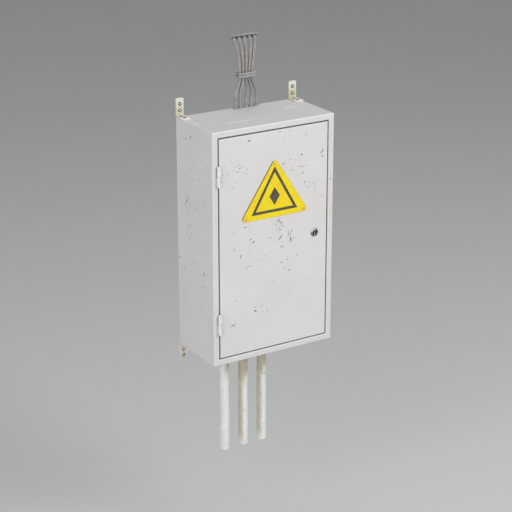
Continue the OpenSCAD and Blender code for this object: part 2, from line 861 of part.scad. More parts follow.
// Slotted duct along z, standing off the plate; open at the front
module duct(length) {
    slots = floor(length / slot_pitch) - 2;
    first = -(slots - 1) * slot_pitch / 2;
    translate([0, -plate_front, 0]) difference() {
        translate([-duct_w / 2, -duct_h, -length / 2]) cube([duct_w, duct_h, length]);
        translate([-duct_w / 2 + duct_wall, -duct_h - 1, -length / 2 - 1])
            cube([duct_w - 2 * duct_wall, duct_h + 1 - duct_wall, length + 2]);
        for (i = [0:slots - 1])
            translate([-duct_w / 2 - 1, -duct_h - 1, first + i * slot_pitch - slot_w / 2])
                cube([duct_w + 2, duct_h + 1 - slot_floor, slot_w]);
    }
}

// Lid with lips that hold it over the duct's fingers
module duct_cover(length) {
    outer = duct_w + 2 * (cover_wall + cover_fit);
    front = plate_front + duct_h + cover_fit + cover_wall;
    difference() {
        translate([-outer / 2, -front, -length / 2]) cube([outer, cover_wall + cover_lip, length]);
        translate([-duct_w / 2 - cover_fit, -front + cover_wall, -length / 2 - 1])
            cube([duct_w + 2 * cover_fit, cover_lip + 1, length + 2]);
    }
}

module side_ducts() {
    color("lightslategray") for (x = [-duct_x, duct_x]) translate([x, 0, 0]) duct(duct_len);
}

module cross_ducts() {
    color("lightslategray") for (z = cross_zs)
        translate([0, 0, z]) rotate([0, 90, 0]) duct(cross_len);
}

module duct_covers() {
    color("slategray") {
        for (x = [-duct_x, duct_x]) translate([x, 0, 0]) duct_cover(duct_len);
        for (z = cross_zs)
            translate([0, 0, z]) rotate([0, 90, 0]) duct_cover(cross_len - 4);
    }
}

// ---- Switchgear, drawn as [forward, up] from the rail's front ----

// Notch round the rail's edge, with a claw that reaches back behind it
function rail_hook(reach) =
    [[0.1, 17.7], [-1.2, 17.7], [-1.2, 16.2], [-reach, 16.2]];

breaker_half_outline = concat(rail_hook(5),
    [[-5, breaker_half], [37, breaker_half], [38, breaker_half - 1], [38, 24], [40, 22.5],
     [57, 22.5], [58, 21.5]]);

module on_rail(x, z) {
    translate([x, -rail_front, z]) children();
}

// Breaker or switch body for a number of poles, pocketed for its lever, with a screw
// well and a wire hole at both ends of each pole
module breaker_body(poles) {
    w = poles * module_pitch - module_gap;
    hub_w = poles * module_pitch - hub_sides + 2 * hub_gap;
    pocket_half = hub_r + hub_gap + 1.4;
    pole_xs = [for (i = [0:poles - 1]) (i - (poles - 1) / 2) * module_pitch];
    difference() {
        sideways(w) polygon(mirrored(breaker_half_outline));
        translate([0, -lever_f, 0]) rotate([0, 90, 0]) {
            cylinder(r = hub_r + hub_gap, h = hub_w, center = true);
            cylinder(r = trunnion_r + run_gap, h = hub_w + 5, center = true);
        }
        translate([-hub_w / 2, -lever_f - 10, -pocket_half])
            cube([hub_w, 10, 2 * pocket_half]);
        for (x = pole_xs, s = [-1, 1]) {
            translate([x, 0, s * screw_well_z]) rod_y(3.2, 39, 31);
            translate([x, -wire_hole_f, s * (breaker_half - 6)])
                cylinder(r = wire_hole_r, h = 13, center = true);
        }
        if (poles > 1) for (i = [1:poles - 1])
            translate([(i - poles / 2) * module_pitch - 0.3, -41, -breaker_half - 1])
                cube([0.6, 10, 2 * breaker_half + 2]);
    }
}

// Lever on its hub, resting up; it turns down about the x axis
module breaker_lever(poles) {
    w = poles * module_pitch - hub_sides;
    lever_w = w - 2;
    lever_t = 4.5;
    lever_reach = 18;
    rotate([0, 90, 0]) {
        cylinder(r = hub_r, h = w, center = true);
        cylinder(r = trunnion_r, h = w + 4, center = true);
    }
    rotate([-lever_angle, 0, 0]) {
        translate([-lever_w / 2, -lever_reach + 1, -lever_t / 2])
            cube([lever_w, lever_reach - 1, lever_t]);
        translate([0, -lever_reach + lever_t / 2, 0])
            rotate([0, 90, 0]) cylinder(r = lever_t / 2, h = lever_w, center = true);
    }
}

module main_switch() {
    color("whitesmoke") on_rail(main_x, row_upper) breaker_body(main_poles);
}

module main_handle() {
    color("firebrick") on_rail(main_x, row_upper)
        translate([0, -lever_f, 0]) breaker_lever(main_poles);
}

function breaker_x(i) = breaker_last_x - (breaker_count - i) * module_pitch;

module breaker(i) {
    color("whitesmoke") on_rail(breaker_x(i), row_upper) breaker_body(1);
}

module breaker_lever_at(i) {
    color("darkslategray") on_rail(breaker_x(i), row_upper)
        translate([0, -lever_f, 0]) breaker_lever(1);
}

contactor_half_outline = concat(rail_hook(5),
    [[-5, contactor_half], [42, contactor_half], [44, contactor_half - 2], [44, 29],
     [64, 29], [66, 27], [66, 22], [76, 22], [78, 20]]);

// Contactor with its terminals, arc vents, side recesses and a window for the slider
module contactor(i) {
    face = 78;
    terminals_x = [-15, -5, 5, 15];
    vents_x = [-16, -8, 0, 8, 16];
    color("dimgray") on_rail(contactor_xs[i - 1], row_middle) difference() {
        sideways(contactor_w) polygon(mirrored(contactor_half_outline));
        translate([-slider_w / 2 - slider_gap, -face - 1, -slider_h / 2 - slider_gap])
            cube([slider_w + 2 * slider_gap, slider_depth + 1, slider_h + 2 * slider_gap]);
        for (s = [-1, 1]) {
            for (x = terminals_x) {
                translate([x, 0, s * screw_well_z]) rod_y(3.4, 45, 37);
                translate([x, -28, s * (contactor_half - 5)])
                    cylinder(r = 3.2, h = 11, center = true);
            }
            for (x = vents_x) translate([x - 2, -67, s * 25.5 - 1]) cube([4, 3, 2]);
            translate([s * contactor_w / 2, 6 - face, 0]) cube([8, 13, 60], center = true);
        }
    }
}

// Push-to-test slider in the contactor's face
module contactor_slider(i) {
    front = 79.5;
    mark = 1.8;
    color("black") on_rail(contactor_xs[i - 1], row_middle) difference() {
        translate([-slider_w / 2, -front, -slider_h / 2]) cube([slider_w, 13, slider_h]);
        translate([-slider_w, -front - 1, -1]) cube([2 * slider_w, mark, 2]);
    }
}

terminal_half_outline = concat(rail_hook(4),
    [[-4, 20], [8, terminal_half], [24, terminal_half], [38, 12]]);

module terminals() {
    color("darkgray") for (i = [0:terminal_count - 1])
        on_rail((i - (terminal_count - 1) / 2) * terminal_pitch, row_lower) difference() {
            sideways(terminal_w) polygon(mirrored(terminal_half_outline));
            for (s = [-1, 1]) {
                translate([0, 0, s * 15]) rod_y(2.1, 40, 22);
                translate([0, -16, s * (terminal_half - 4)]) cylinder(r = 2, h = 9, center = true);
            }
            translate([-terminal_w, -39, -4]) cube([2 * terminal_w, 4, 8]);
        }
}

// Clamps that stop the gear sliding along each rail
module end_stops() {
    w = 8;
    half = concat(rail_hook(4), [[-4, 21], [20, 21], [24, 15], [30, 15]]);
    terminals_edge = terminal_count * terminal_pitch / 2 + w / 2 + 0.2;
    places = [
        [main_x + main_poles * module_pitch / 2 + w / 2 + 0.2, row_upper],
        [contactor_xs[0] - contactor_w / 2 - w / 2 - 0.2, row_middle],
        [contactor_xs[1] + contactor_w / 2 + w / 2 + 0.2, row_middle],
        [-terminals_edge, row_lower], [terminals_edge, row_lower]];
    color("darkgray") for (p = places) on_rail(p[0], p[1]) difference() {
        sideways(w) polygon(mirrored(half));
        rod_y(2.6, 31, 12);
    }
}

// ---- Earth bar ----

module earth_bar() {
    color("goldenrod") difference() {
        translate([earth_x - earth_w / 2, -earth_front, earth_z - earth_h / 2])
            cube([earth_w, earth_t, earth_h]);
        for (x = earth_hole_xs) {
            translate([x, -earth_front + earth_t / 2, earth_z])
                cylinder(r = cable_r + 0.1, h = earth_h + 2, center = true);
            translate([x, 0, earth_z]) rod_y(2, earth_front + 1, earth_front - 4);
        }
        for (x = earth_post_xs) translate([x, 0, earth_z]) rod_y(2.1, earth_front + 1, 20);
    }
}

module earth_posts() {
    color("sienna") for (x = earth_post_xs) translate([x, 0, earth_z]) {
        rod_y(4, earth_front - earth_t, plate_front);
        rod_y(2, earth_front - 1, plate_back - 3);
    }
}

case();
door();
door_seal();
hinge_frame_halves();
hinge_door_halves();
hinge_washers();
lock_body();
lock_nut();
lock_core();
lock_tongue();
tongue_screw();
sign_plate();
sign_rivets();
bracket_at(0, 0);  // bracket_top_left
bracket_at(1, 0);  // bracket_top_right
bracket_at(0, 1);  // bracket_bottom_left
bracket_at(1, 1);  // bracket_bottom_right
bracket_screws();
bracket_nuts();
conduit(1);  // conduit_1
conduit(2);  // conduit_2
conduit(3);  // conduit_3
conduit_adaptors();
conduit_locknuts();
cable_grommets();
supply_cable(1);  // supply_cable_1
supply_cable(2);  // supply_cable_2
supply_cable(3);  // supply_cable_3
supply_cable(4);  // supply_cable_4
supply_cable(5);  // supply_cable_5
clip_base();
clip_cover();
wall_hood();
mounting_plate();
plate_nuts();
rail(row_upper);  // rail_upper
rail(row_middle);  // rail_middle
rail(row_lower);  // rail_lower
rail_screws();
side_ducts();
cross_ducts();
duct_covers();
main_switch();
main_handle();
breaker(1);  // breaker_1
breaker(2);  // breaker_2
breaker(3);  // breaker_3
breaker(4);  // breaker_4
breaker_lever_at(1);  // breaker_lever_1
breaker_lever_at(2);  // breaker_lever_2
breaker_lever_at(3);  // breaker_lever_3
breaker_lever_at(4);  // breaker_lever_4
contactor(1);  // contactor_1
contactor(2);  // contactor_2
contactor_slider(1);  // contactor_slider_1
contactor_slider(2);  // contactor_slider_2
terminals();
end_stops();
earth_bar();
earth_posts();
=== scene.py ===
import math
import random

import bmesh
import bpy
from mathutils import Matrix, Vector


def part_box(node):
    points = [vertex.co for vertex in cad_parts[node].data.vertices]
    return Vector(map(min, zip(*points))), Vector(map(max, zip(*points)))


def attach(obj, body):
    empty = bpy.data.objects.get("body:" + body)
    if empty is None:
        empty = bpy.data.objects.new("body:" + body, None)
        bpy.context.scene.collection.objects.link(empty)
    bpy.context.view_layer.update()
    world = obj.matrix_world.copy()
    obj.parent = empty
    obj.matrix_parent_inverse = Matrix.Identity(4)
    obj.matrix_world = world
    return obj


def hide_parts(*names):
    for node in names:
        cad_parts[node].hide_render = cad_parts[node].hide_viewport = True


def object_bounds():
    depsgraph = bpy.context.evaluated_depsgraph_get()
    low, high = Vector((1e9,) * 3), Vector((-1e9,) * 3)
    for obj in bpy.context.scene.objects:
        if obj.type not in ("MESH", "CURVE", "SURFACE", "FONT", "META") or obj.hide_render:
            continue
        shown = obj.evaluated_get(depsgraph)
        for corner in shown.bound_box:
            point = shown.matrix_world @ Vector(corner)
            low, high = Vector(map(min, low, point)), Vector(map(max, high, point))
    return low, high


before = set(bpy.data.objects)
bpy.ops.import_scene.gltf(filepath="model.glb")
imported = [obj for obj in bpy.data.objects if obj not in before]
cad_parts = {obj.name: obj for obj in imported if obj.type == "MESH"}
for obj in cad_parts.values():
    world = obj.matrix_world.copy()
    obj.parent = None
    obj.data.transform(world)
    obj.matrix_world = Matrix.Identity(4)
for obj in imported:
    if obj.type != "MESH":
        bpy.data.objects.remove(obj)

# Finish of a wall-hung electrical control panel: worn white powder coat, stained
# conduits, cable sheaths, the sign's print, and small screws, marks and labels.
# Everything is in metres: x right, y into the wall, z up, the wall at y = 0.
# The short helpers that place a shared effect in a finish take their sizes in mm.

cad_low, cad_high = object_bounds()
case_low, case_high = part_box("case")
door_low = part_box("door")[0]
sign_low, sign_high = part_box("sign_plate")
MM = 0.001


def mm(*sizes):
    return tuple(size * MM for size in sizes)


def numbered(stem, count):
    return [f"{stem}_{i + 1}" for i in range(count)]


def middle_of(node):
    """Middle of a node's box, as x and z."""
    low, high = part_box(node)
    return (low.x + high.x) / 2, (low.z + high.z) / 2


def in_a_row(middle, pitch, count):
    return [middle + (i - (count - 1) / 2) * pitch for i in range(count)]


def show(name, data):
    """New object in the scene."""
    made = bpy.data.objects.new(name, data)
    bpy.context.scene.collection.objects.link(made)
    return made


# A bracket's holes from its fold, the conduits' line and the radius of the sign's corners
WALL_HOLES = mm(16, 32.5)
CASE_HOLES = mm(9, 25.5)
CONDUIT_Y = -45 * MM
SIGN_CORNER = 8 * MM

# Switchgear: front of the rails, depth of the wire holes, and the pitches of the modules
RAIL_FRONT = -23.5 * MM
WIRE_HOLE = 25.5 * MM
MODULE = 18 * MM
TERMINAL_PITCH = 6.2 * MM
EARTH_PITCH = 13.5 * MM

# The switches with their counts of poles
SWITCHES = {"main_switch": 4, **dict.fromkeys(numbered("breaker", 4), 1)}
CONTACTORS = numbered("contactor", 2)
CABLES = numbered("supply_cable", 5)


# ---- Camera and light ----

LAMP_DISTANCE = 4.0


def aim_camera():
    """Long lens from the front left and a little above; away, aside and lift in case heights."""
    turn, rise = math.radians(-32.1779), math.radians(20.0114)
    away, aside, lift = 6.88477, 0.0795945, -0.1476157
    level = math.cos(rise)
    back = Vector((math.sin(turn) * level, -math.cos(turn) * level, math.sin(rise)))
    right = Vector((math.cos(turn), math.sin(turn), 0))
    up = back.cross(right)
    camera = show("camera", bpy.data.cameras.new("camera"))
    camera.data.sensor_width = 36
    camera.data.lens = 113.814
    camera.data.clip_end = 100
    case_height = case_high.z - case_low.z
    camera.location = case_height * (away * back + aside * right + lift * up)
    camera.rotation_euler = Matrix((right, up, back)).transposed().to_euler()
    bpy.context.scene.camera = camera


def softbox(name, towards, width, power):
    """Square soft light that stands off the case in a direction and shines back at it."""
    aim = Vector(towards).normalized()
    light = bpy.data.lights.new(name, "AREA")
    light.size = width
    light.energy = power
    lamp = show(name, light)
    lamp.location = aim * LAMP_DISTANCE
    lamp.rotation_euler = aim.to_track_quat("Z", "Y").to_euler()


def light_studio():
    softbox("key light", (0.45, -0.75, 0.49), 2.2, 84)
    softbox("fill light", (-0.8, -0.5, 0.3), 2.4, 76)
    softbox("top light", (0.15, 0.1, 0.98), 2.4, 30)
    world = bpy.data.worlds.new("studio")
    world.use_nodes = True
    shine = world.node_tree.nodes["Background"].inputs
    shine["Color"].default_value = (0.97, 0.98, 1.0, 1)
    shine["Strength"].default_value = 0.36
    bpy.context.scene.world = world
    bpy.context.scene.view_settings.view_transform = "Standard"


# ---- Shader building blocks ----

# Shader trees in the order they were begun; nodes go into the last one
TREES = []


def put(kind, sockets=None, **settings):
    """Adds a shader node, sets its properties, and fills or wires its sockets."""
    made = TREES[-1].nodes.new(kind)
    for name, value in settings.items():
        setattr(made, name, value)
    for name, value in (sockets or {}).items():
        fill(made.inputs[name], value)
    return made


def fill(socket, value):
    if isinstance(value, bpy.types.NodeSocket):
        TREES[-1].links.new(value, socket)
    elif socket.type == "RGBA" and len(value) == 3:
        socket.default_value = (*value, 1)
    else:
        socket.default_value = value


def calc(operation, *terms, clamp=False):
    return put("ShaderNodeMath", dict(enumerate(terms)), operation=operation,
               use_clamp=clamp).outputs[0]


def vector(operation, *terms):
    made = put("ShaderNodeVectorMath", dict(enumerate(terms)), operation=operation)
    return made.outputs["Value" if operation in ("LENGTH", "DOT_PRODUCT") else "Vector"]


def stretched(at, factor):
    made = put("ShaderNodeVectorMath", {0: at, "Scale": factor}, operation="SCALE")
    return made.outputs["Vector"]


def times(one, other, clamp=False):
    return calc("MULTIPLY", one, other, clamp=clamp)


def scaled(value, factor, start):
    return calc("MULTIPLY_ADD", value, factor, start)


def tint(share, base, over):
    return put("ShaderNodeMix", {0: share, 6: base, 7: over}, data_type="RGBA").outputs[2]


def ramp(value, start, end, low=0.0, high=1.0):
    """Smooth step of a value from low at start to high at end."""
    return put("ShaderNodeMapRange", {0: value, 1: start, 2: end, 3: low, 4: high},
               interpolation_type="SMOOTHSTEP").outputs[0]


def noise(at, scale, detail=3.0, rough=0.55):
    return put("ShaderNodeTexNoise", {"Vector": at, "Scale": scale, "Detail": detail,
                                      "Roughness": rough}).outputs[0]


def place():
    return put("ShaderNodeTexCoord").outputs["Object"]


def facing():
    return put("ShaderNodeTexCoord").outputs["Normal"]


def part_of(at, axis):
    return put("ShaderNodeSeparateXYZ", {0: at}).outputs[axis]


# ---- Effects that several finishes share ----

KINDS = {3: "NodeSocketVector", 4: "NodeSocketColor"}
EFFECTS = {}


def new_effect(name, takes, gives):
    """Begins a node group with named sockets of given values; returns inputs and outputs."""
    tree = bpy.data.node_groups.new(name, "ShaderNodeTree")
    for way, sockets in (("INPUT", takes), ("OUTPUT", gives)):
        for label, value in sockets.items():
            kind = KINDS[len(value)] if isinstance(value, tuple) else "NodeSocketFloat"
            socket = tree.interface.new_socket(label, in_out=way, socket_type=kind)
            socket.default_value = value
    EFFECTS[name] = tree
    TREES.append(tree)
    return put("NodeGroupInput").outputs, put("NodeGroupOutput").inputs


def effect(name, **values):
    made = put("ShaderNodeGroup", node_tree=EFFECTS[name])
    for label, value in values.items():
        fill(made.inputs[label], value)
    return made.outputs


def build_mottle():
    """Slow drift of a coat between its colour and a second shade."""
    take, give = new_effect("mottle", {"Colour": (1, 1, 1, 1), "Shade": (0, 0, 0, 1),
                                       "Size": 0.1, "Depth": 0.5}, {"Colour": (0, 0, 0, 1)})
    scale = calc("DIVIDE", 1.0, take["Size"])
    broad = noise(place(), scale, 2)
    fine = noise(place(), times(scale, 7.3), 4)
    both = scaled(fine, 0.3, times(broad, 0.7))
    share = times(ramp(both, 0.36, 0.64), take["Depth"])
    fill(give["Colour"], tint(share, take["Colour"], take["Shade"]))


def build_edges():
    """Eased normal along sharp edges, and where those edges are rubbed."""
    take, give = new_effect("edges", {"Radius": 0.0005, "Patchiness": 0.01},
                            {"Normal": (0, 0, 0), "Rub": 0})
    eased = put("ShaderNodeBevel", {"Radius": take["Radius"]}, samples=4).outputs[0]
    flat = put("ShaderNodeNewGeometry").outputs["Normal"]
    turned = calc("SUBTRACT", 1.0, vector("DOT_PRODUCT", eased, flat))
    uneven = noise(place(), calc("DIVIDE", 1.0, take["Patchiness"]), 4)
    fill(give["Normal"], eased)
    fill(give["Rub"], ramp(times(turned, uneven), 0.01, 0.1))


def build_grime_and_shade():
    """Dirt in corners, recesses and round heads, and painted shade there: the share grows where
    ambient occlusion finds the surface sheltered.
    """
    take, give = new_effect("grime_and_shade", {"Reach": 0.006, "Amount": 0.6}, {"Share": 0})
    shelter = put("ShaderNodeAmbientOcclusion", {"Distance": take["Reach"]},
                  samples=6).outputs["AO"]
    uneven = ramp(noise(place(), 160, 3), 0.25, 0.7, 0.5, 1)
    dirt_and_shade_share = times(ramp(shelter, 0.9, 0.25), uneven)
    fill(give["Share"], times(dirt_and_shade_share, take["Amount"]))


def build_patch():
    """Soft round area: 1 at its centre, 0 at its reach."""
    take, give = new_effect("patch", {"Centre": (0, 0, 0), "Reach": (1, 1, 1)}, {"Share": 0})
    away = vector("DIVIDE", vector("SUBTRACT", place(), take["Centre"]), take["Reach"])
    fill(give["Share"], ramp(vector("LENGTH", away), 1, 0.15))


def build_scratch():
    """Ragged chipped streak between two points."""
    take, give = new_effect("scratch", {"Start": (0, 0, 0), "End": (0, 0, 1), "Width": 0.001},
                            {"Mask": 0})
    at = place()
    span = vector("SUBTRACT", take["End"], take["Start"])
    reach = vector("SUBTRACT", at, take["Start"])
    along = calc("DIVIDE", vector("DOT_PRODUCT", reach, span),
                 vector("DOT_PRODUCT", span, span), clamp=True)
    off = vector("LENGTH", vector("SUBTRACT", reach, stretched(span, along)))
    ragged = times(off, ramp(noise(at, 620, 2), 0.3, 0.7, 0.4, 3))
    fill(give["Mask"], ramp(calc("DIVIDE", ragged, take["Width"]), 1, 0.6))


def build_chips():
    """Flakes knocked out of a coat: some cells of a flat scatter, ragged, leaning, uneven."""
    take, give = new_effect("chips", {"Spacing": 0.01, "Size": 0.002, "Amount": 0.2,
                                      "Lean": (0, 0, 0.9)}, {"Mask": 0, "Rim": 0})
    ripple = put("ShaderNodeTexNoise",
                 {"Vector": place(), "Scale": 330.0, "Detail": 2.0}).outputs[1]
    push = stretched(vector("SUBTRACT", ripple, (0.5, 0.5, 0.5)), 0.0042)
    leaning = put("ShaderNodeMapping",
                  {"Vector": laid_flat(vector("ADD", place(), push)),
                   "Rotation": take["Lean"], "Scale": (0.62, 1.25, 1)}).outputs[0]
    cells = put("ShaderNodeTexVoronoi",
                {"Vector": leaning, "Scale": calc("DIVIDE", 1.0, take["Spacing"])},
                voronoi_dimensions="2D").outputs
    draw = put("ShaderNodeSeparateColor", {0: cells["Color"]}).outputs
    hit = times(calc("LESS_THAN", draw[0], take["Amount"]), ramp(draw[2], 0, 0.7, 0.45, 1))
    reach = times(take["Size"], ramp(draw[1], 0, 1, 0.45, 1))
    depth = calc("DIVIDE", times(cells["Distance"], take["Spacing"]), reach)
    inner = times(hit, ramp(depth, 1, 0.78))
    outer = times(hit, ramp(depth, 1.6, 1.05))
    fill(give["Mask"], inner)
    fill(give["Rim"], calc("SUBTRACT", outer, inner, clamp=True))


def laid_flat(at):
    """Place on a face as two lengths along it, whichever way the face looks."""
    share = vector("MULTIPLY", facing(), facing())
    depth = part_of(at, 1)
    lengths = []
    for axis in (0, 2):
        own = part_of(at, axis)
        lengths.append(scaled(calc("SUBTRACT", depth, own), part_of(share, axis), own))
    return put("ShaderNodeCombineXYZ", {0: lengths[0], 1: lengths[1]}).outputs[0]


def build_dust():
    """Settled dust on faces that look up."""
    take, give = new_effect("dust", {"Amount": 0.3}, {"Share": 0})
    level = ramp(part_of(facing(), 2), 0.35, 0.95)
    uneven = ramp(noise(place(), 22, 5, 0.65), 0.32, 0.72, 0.85, 1)
    fill(give["Share"], times(times(level, uneven), take["Amount"]))


def build_grain():
    """Fine surface texture as a height: orange peel, moulding grain or foam cells."""
    take, give = new_effect("grain", {"Size": 0.001}, {"Height": 0})
    scale = calc("DIVIDE", 1.0, take["Size"])
    fill(give["Height"], noise(place(), scale, 2, 0.6))


def build_brush():
    """Fine drawn lines that run along the axis with the largest stretch."""
    take, give = new_effect("brush", {"Stretch": (1, 1, 1), "Scale": 900}, {"Lines": 0})
    drawn = vector("DIVIDE", place(), take["Stretch"])
    fill(give["Lines"], noise(drawn, take["Scale"], 3, 0.6))


def build_runs():
    """Streaks of dirty water that run down a face."""
    take, give = new_effect("runs", {"Spacing": 0.02, "Length": 0.2}, {"Share": 0})
    across = calc("DIVIDE", 1.0, take["Spacing"])
    down = calc("DIVIDE", 1.0, take["Length"])
    pulled = vector("MULTIPLY", place(),
                    put("ShaderNodeCombineXYZ", {0: across, 1: across, 2: down}).outputs[0])
    fill(give["Share"], ramp(noise(pulled, 1.0, 4, 0.6), 0.5, 0.78))


def build_folds():
    """Painted highlight where a folded sheet turns from one face to the next."""
    take, give = new_effect("folds", {"Amount": 0.5}, {"Share": 0})
    squares = vector("MULTIPLY", facing(), facing())
    flatness = vector("DOT_PRODUCT", squares, squares)
    fill(give["Share"], times(ramp(flatness, 0.97, 0.72), take["Amount"]))


def build_clouds():
    """Soft unevenness that drifts between a low and a high value."""
    take, give = new_effect("clouds", {"Scale": 60, "Detail": 3, "Low": 0.3, "High": 0.5},
                            {"Value": 0})
    drift = noise(place(), take["Scale"], take["Detail"])
    fill(give["Value"], ramp(drift, 0.3, 0.7, take["Low"], take["High"]))


def build_effects():
    for build in (build_mottle, build_edges, build_grime_and_shade, build_patch, build_scratch, build_folds,
                  build_chips, build_dust, build_grain, build_brush, build_runs, build_clouds):
        build()


# ---- Finishes ----

WHITE = (0.690, 0.673, 0.662)
DULL_WHITE = (0.655, 0.632, 0.620)
BARE_STEEL = (0.095, 0.092, 0.090)
# Colour of dirt and of painted shade in corners and recesses
DIRT_AND_SHADE = (0.16, 0.135, 0.105)
DUST = (0.56, 0.545, 0.52)
LINES_X, LINES_Y, LINES_Z = (40, 1, 1), (1, 40, 1), (1, 1, 40)
STAIN_TOP = -280 * MM


def shade_of(colour, factor):
    return tuple(part * factor for part in colour)


def new_finish(name, **sockets):
    """Material with one Principled shader whose plain numbers are given by socket."""
    finish = bpy.data.materials.new(name)
    finish.use_nodes = True
    finish.node_tree.nodes.clear()
    TREES.append(finish.node_tree)
    plain = {label.replace("_", " "): value for label, value in sockets.items()}
    shader = put("ShaderNodeBsdfPrincipled", plain)
    put("ShaderNodeOutputMaterial", {"Surface": shader.outputs["BSDF"]})
    return finish


def dress(finish, colour, rough, height=None, depth=0.0, edges=None, **fields):
    """Wires a finish's fields to its shader; the 0 to 1 height stands depth mm high."""
    if height:
        fields["Normal"] = put("ShaderNodeBump", {
            "Strength": 1.0, "Distance": depth * MM, "Height": height,
            "Normal": edges["Normal"]}).outputs[0]
    shader = finish.node_tree.nodes["Principled BSDF"].inputs
    for label, value in {"Base Color": colour, "Roughness": rough, **fields}.items():
        fill(shader[label.replace("_", " ")], value)
    return finish


def eased(radius, patchiness):
    return effect("edges", Radius=radius * MM, Patchiness=patchiness * MM)


def mottled(colour, shade, size, depth):
    return effect("mottle", Colour=colour, Shade=shade, Size=size * MM, Depth=depth)["Colour"]


def patch(centre, reach):
    return effect("patch", Centre=centre, Reach=reach)["Share"]


def chips(spacing, size, amount, **lean):
    return effect("chips", Spacing=spacing * MM, Size=size * MM, Amount=amount, **lean)


def runs(spacing, length):
    return effect("runs", Spacing=spacing * MM, Length=length * MM)["Share"]


def grain(size):
    return effect("grain", Size=size * MM)["Height"]


def brushed(stretch, scale=1500):
    return effect("brush", Stretch=stretch, Scale=scale)["Lines"]


def clouds(scale, low, high, detail=3):
    return effect("clouds", Scale=scale, Detail=detail, Low=low, High=high)["Value"]


def rubbed(edges, share, coat, colour):
    return tint(times(edges["Rub"], share), coat, colour)


# Dirt and painted shade: tints a coat towards a dark colour where ambient occlusion finds corners,
# gaps and recesses.
def dirtied_and_shaded(coat, reach, amount, colour=DIRT_AND_SHADE):
    dirt_and_shade_share = effect("grime_and_shade", Reach=reach * MM, Amount=amount)["Share"]
    return tint(dirt_and_shade_share, coat, colour)


def outer_skin(node):
    """1 on faces that look away from the middle of a folded piece, 0 on its inner faces."""
    low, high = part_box(node)
    reach = vector("SUBTRACT", place(), (low + high) / 2)
    return ramp(vector("DOT_PRODUCT", reach, facing()), -1 * MM, 1 * MM)


def chipped_coat(name, node, colour, clusters, scratches, sparse, rubs=()):
    """Powder coat with chips in clusters and at knocks, dust, painted highlights along its folds,
    and painted shade with some dirt in its recesses.
    """
    finish = new_finish(name, IOR=1.5)
    edges = eased(0.8, 18)
    coat = mottled(colour, shade_of(DULL_WHITE, colour[0] / WHITE[0]), 110, 0.65)
    coat = tint(times(runs(16, 240), 0.10), coat, (0.50, 0.48, 0.45))
    # Painted highlight: paler colour along the rounded folds.
    coat = tint(effect("folds", Amount=0.15)["Share"], coat, (0.86, 0.855, 0.85))
    coat = rubbed(edges, 0.25, coat, (0.80, 0.79, 0.78))
    for centre, reach in rubs:
        uneven = ramp(noise(place(), 130, 3), 0.34, 0.58, 0, 0.85)
        worn = times(patch(centre, reach), uneven)
        coat = tint(worn, coat, (0.90, 0.895, 0.885))
    amount = sparse
    for centre, reach, more in clusters:
        amount = scaled(patch(centre, reach), more, amount)
    outside = outer_skin(node)
    amount = times(amount, outside)
    specks = chips(5, 1.5, amount)
    flakes = chips(12, 2.6, amount, Lean=(0, 0, -0.7))
    bare = calc("MAXIMUM", specks["Mask"], flakes["Mask"])
    rim = calc("MAXIMUM", specks["Rim"], flakes["Rim"])
    for start, end, width in scratches:
        mark = effect("scratch", Start=start, End=end, Width=width * MM)["Mask"]
        bare = calc("MAXIMUM", bare, times(mark, outside))
    coat = tint(times(rim, 0.35), coat, (0.46, 0.45, 0.45))
    # Painted shade with some dirt: near black in the door's gap, on the jamb and in other
    # recesses.
    coat = dirtied_and_shaded(coat, 6, 0.62, (0.085, 0.083, 0.080))
    settled = effect("dust", Amount=0.5)["Share"]
    coat = tint(settled, coat, DUST)
    coat = tint(bare, coat, mottled(BARE_STEEL, (0.19, 0.17, 0.16), 4, 0.8))
    worn = scaled(settled, 0.3, times(bare, 0.3))
    rough = calc("ADD", clouds(34, 0.36, 0.46, 4), worn)
    height = calc("SUBTRACT", times(grain(1.6), 0.12), bare)
    return dress(finish, coat, rough, height, 0.1, edges)


def on_door(x, z):
    return (x * MM, door_low.y, z * MM)


def on_side(y, z):
    return (case_low.x, y * MM, z * MM)


def on_front(x, z):
    return (x * MM, case_low.y, z * MM)


def on_top(x, y):
    return (x * MM, y * MM, case_high.z)


def knocked(spots):
    """Patches that are sure to be chipped, one at each spot."""
    return [(spot, mm(6, 6, 6), 1) for spot in spots]


def door_coat():
    clusters = [(on_door(x, z), mm(across, 30, up), more) for x, z, across, up, more in (
        (13, 36, 20, 26, 0.95), (47, 0, 15, 24, 0.6), (-62, 10, 20, 28, 0.5),
        (-40, -47, 18, 16, 0.3), (84, 188, 36, 34, 0.26), (108, 132, 30, 26, 0.3),
        (-98, 210, 40, 34, 0.2), (-45, -180, 34, 30, 0.14), (-118, -203, 14, 10, 0.4))]
    clusters += knocked(on_door(x, z) for x, z in (
        (50, 14), (-72, 41), (-13, 6), (23, -19), (39, -55), (20, -62), (71, -49), (-28, -32),
        (-125, -95), (-90, -116), (-1, -109), (7, -250), (-70, -258), (111, -204), (-82, 187),
        (-130, 192), (-119, 159), (33, 195), (69, 160), (141, 95), (44, 276), (94, 258)))
    scratches = [(on_door(*start), on_door(*end), width) for start, end, width in (
        ((136, 203), (143, 212), 1.9), ((138, 196), (141, 193), 1.5), ((15, 0), (21, 9), 2.2),
        ((47, -1), (51, -13), 1.5), ((-99, -27), (-95, -19), 1.8), ((-118, 1), (-113, -5), 1.1),
        ((10, 54), (22, 41), 1.6), ((-123, -198), (-118, -202), 1.3),
        ((-118, -202), (-113, -197), 1.3))]
    return chipped_coat("door powder coat", "door", WHITE, clusters, scratches, 0.008)


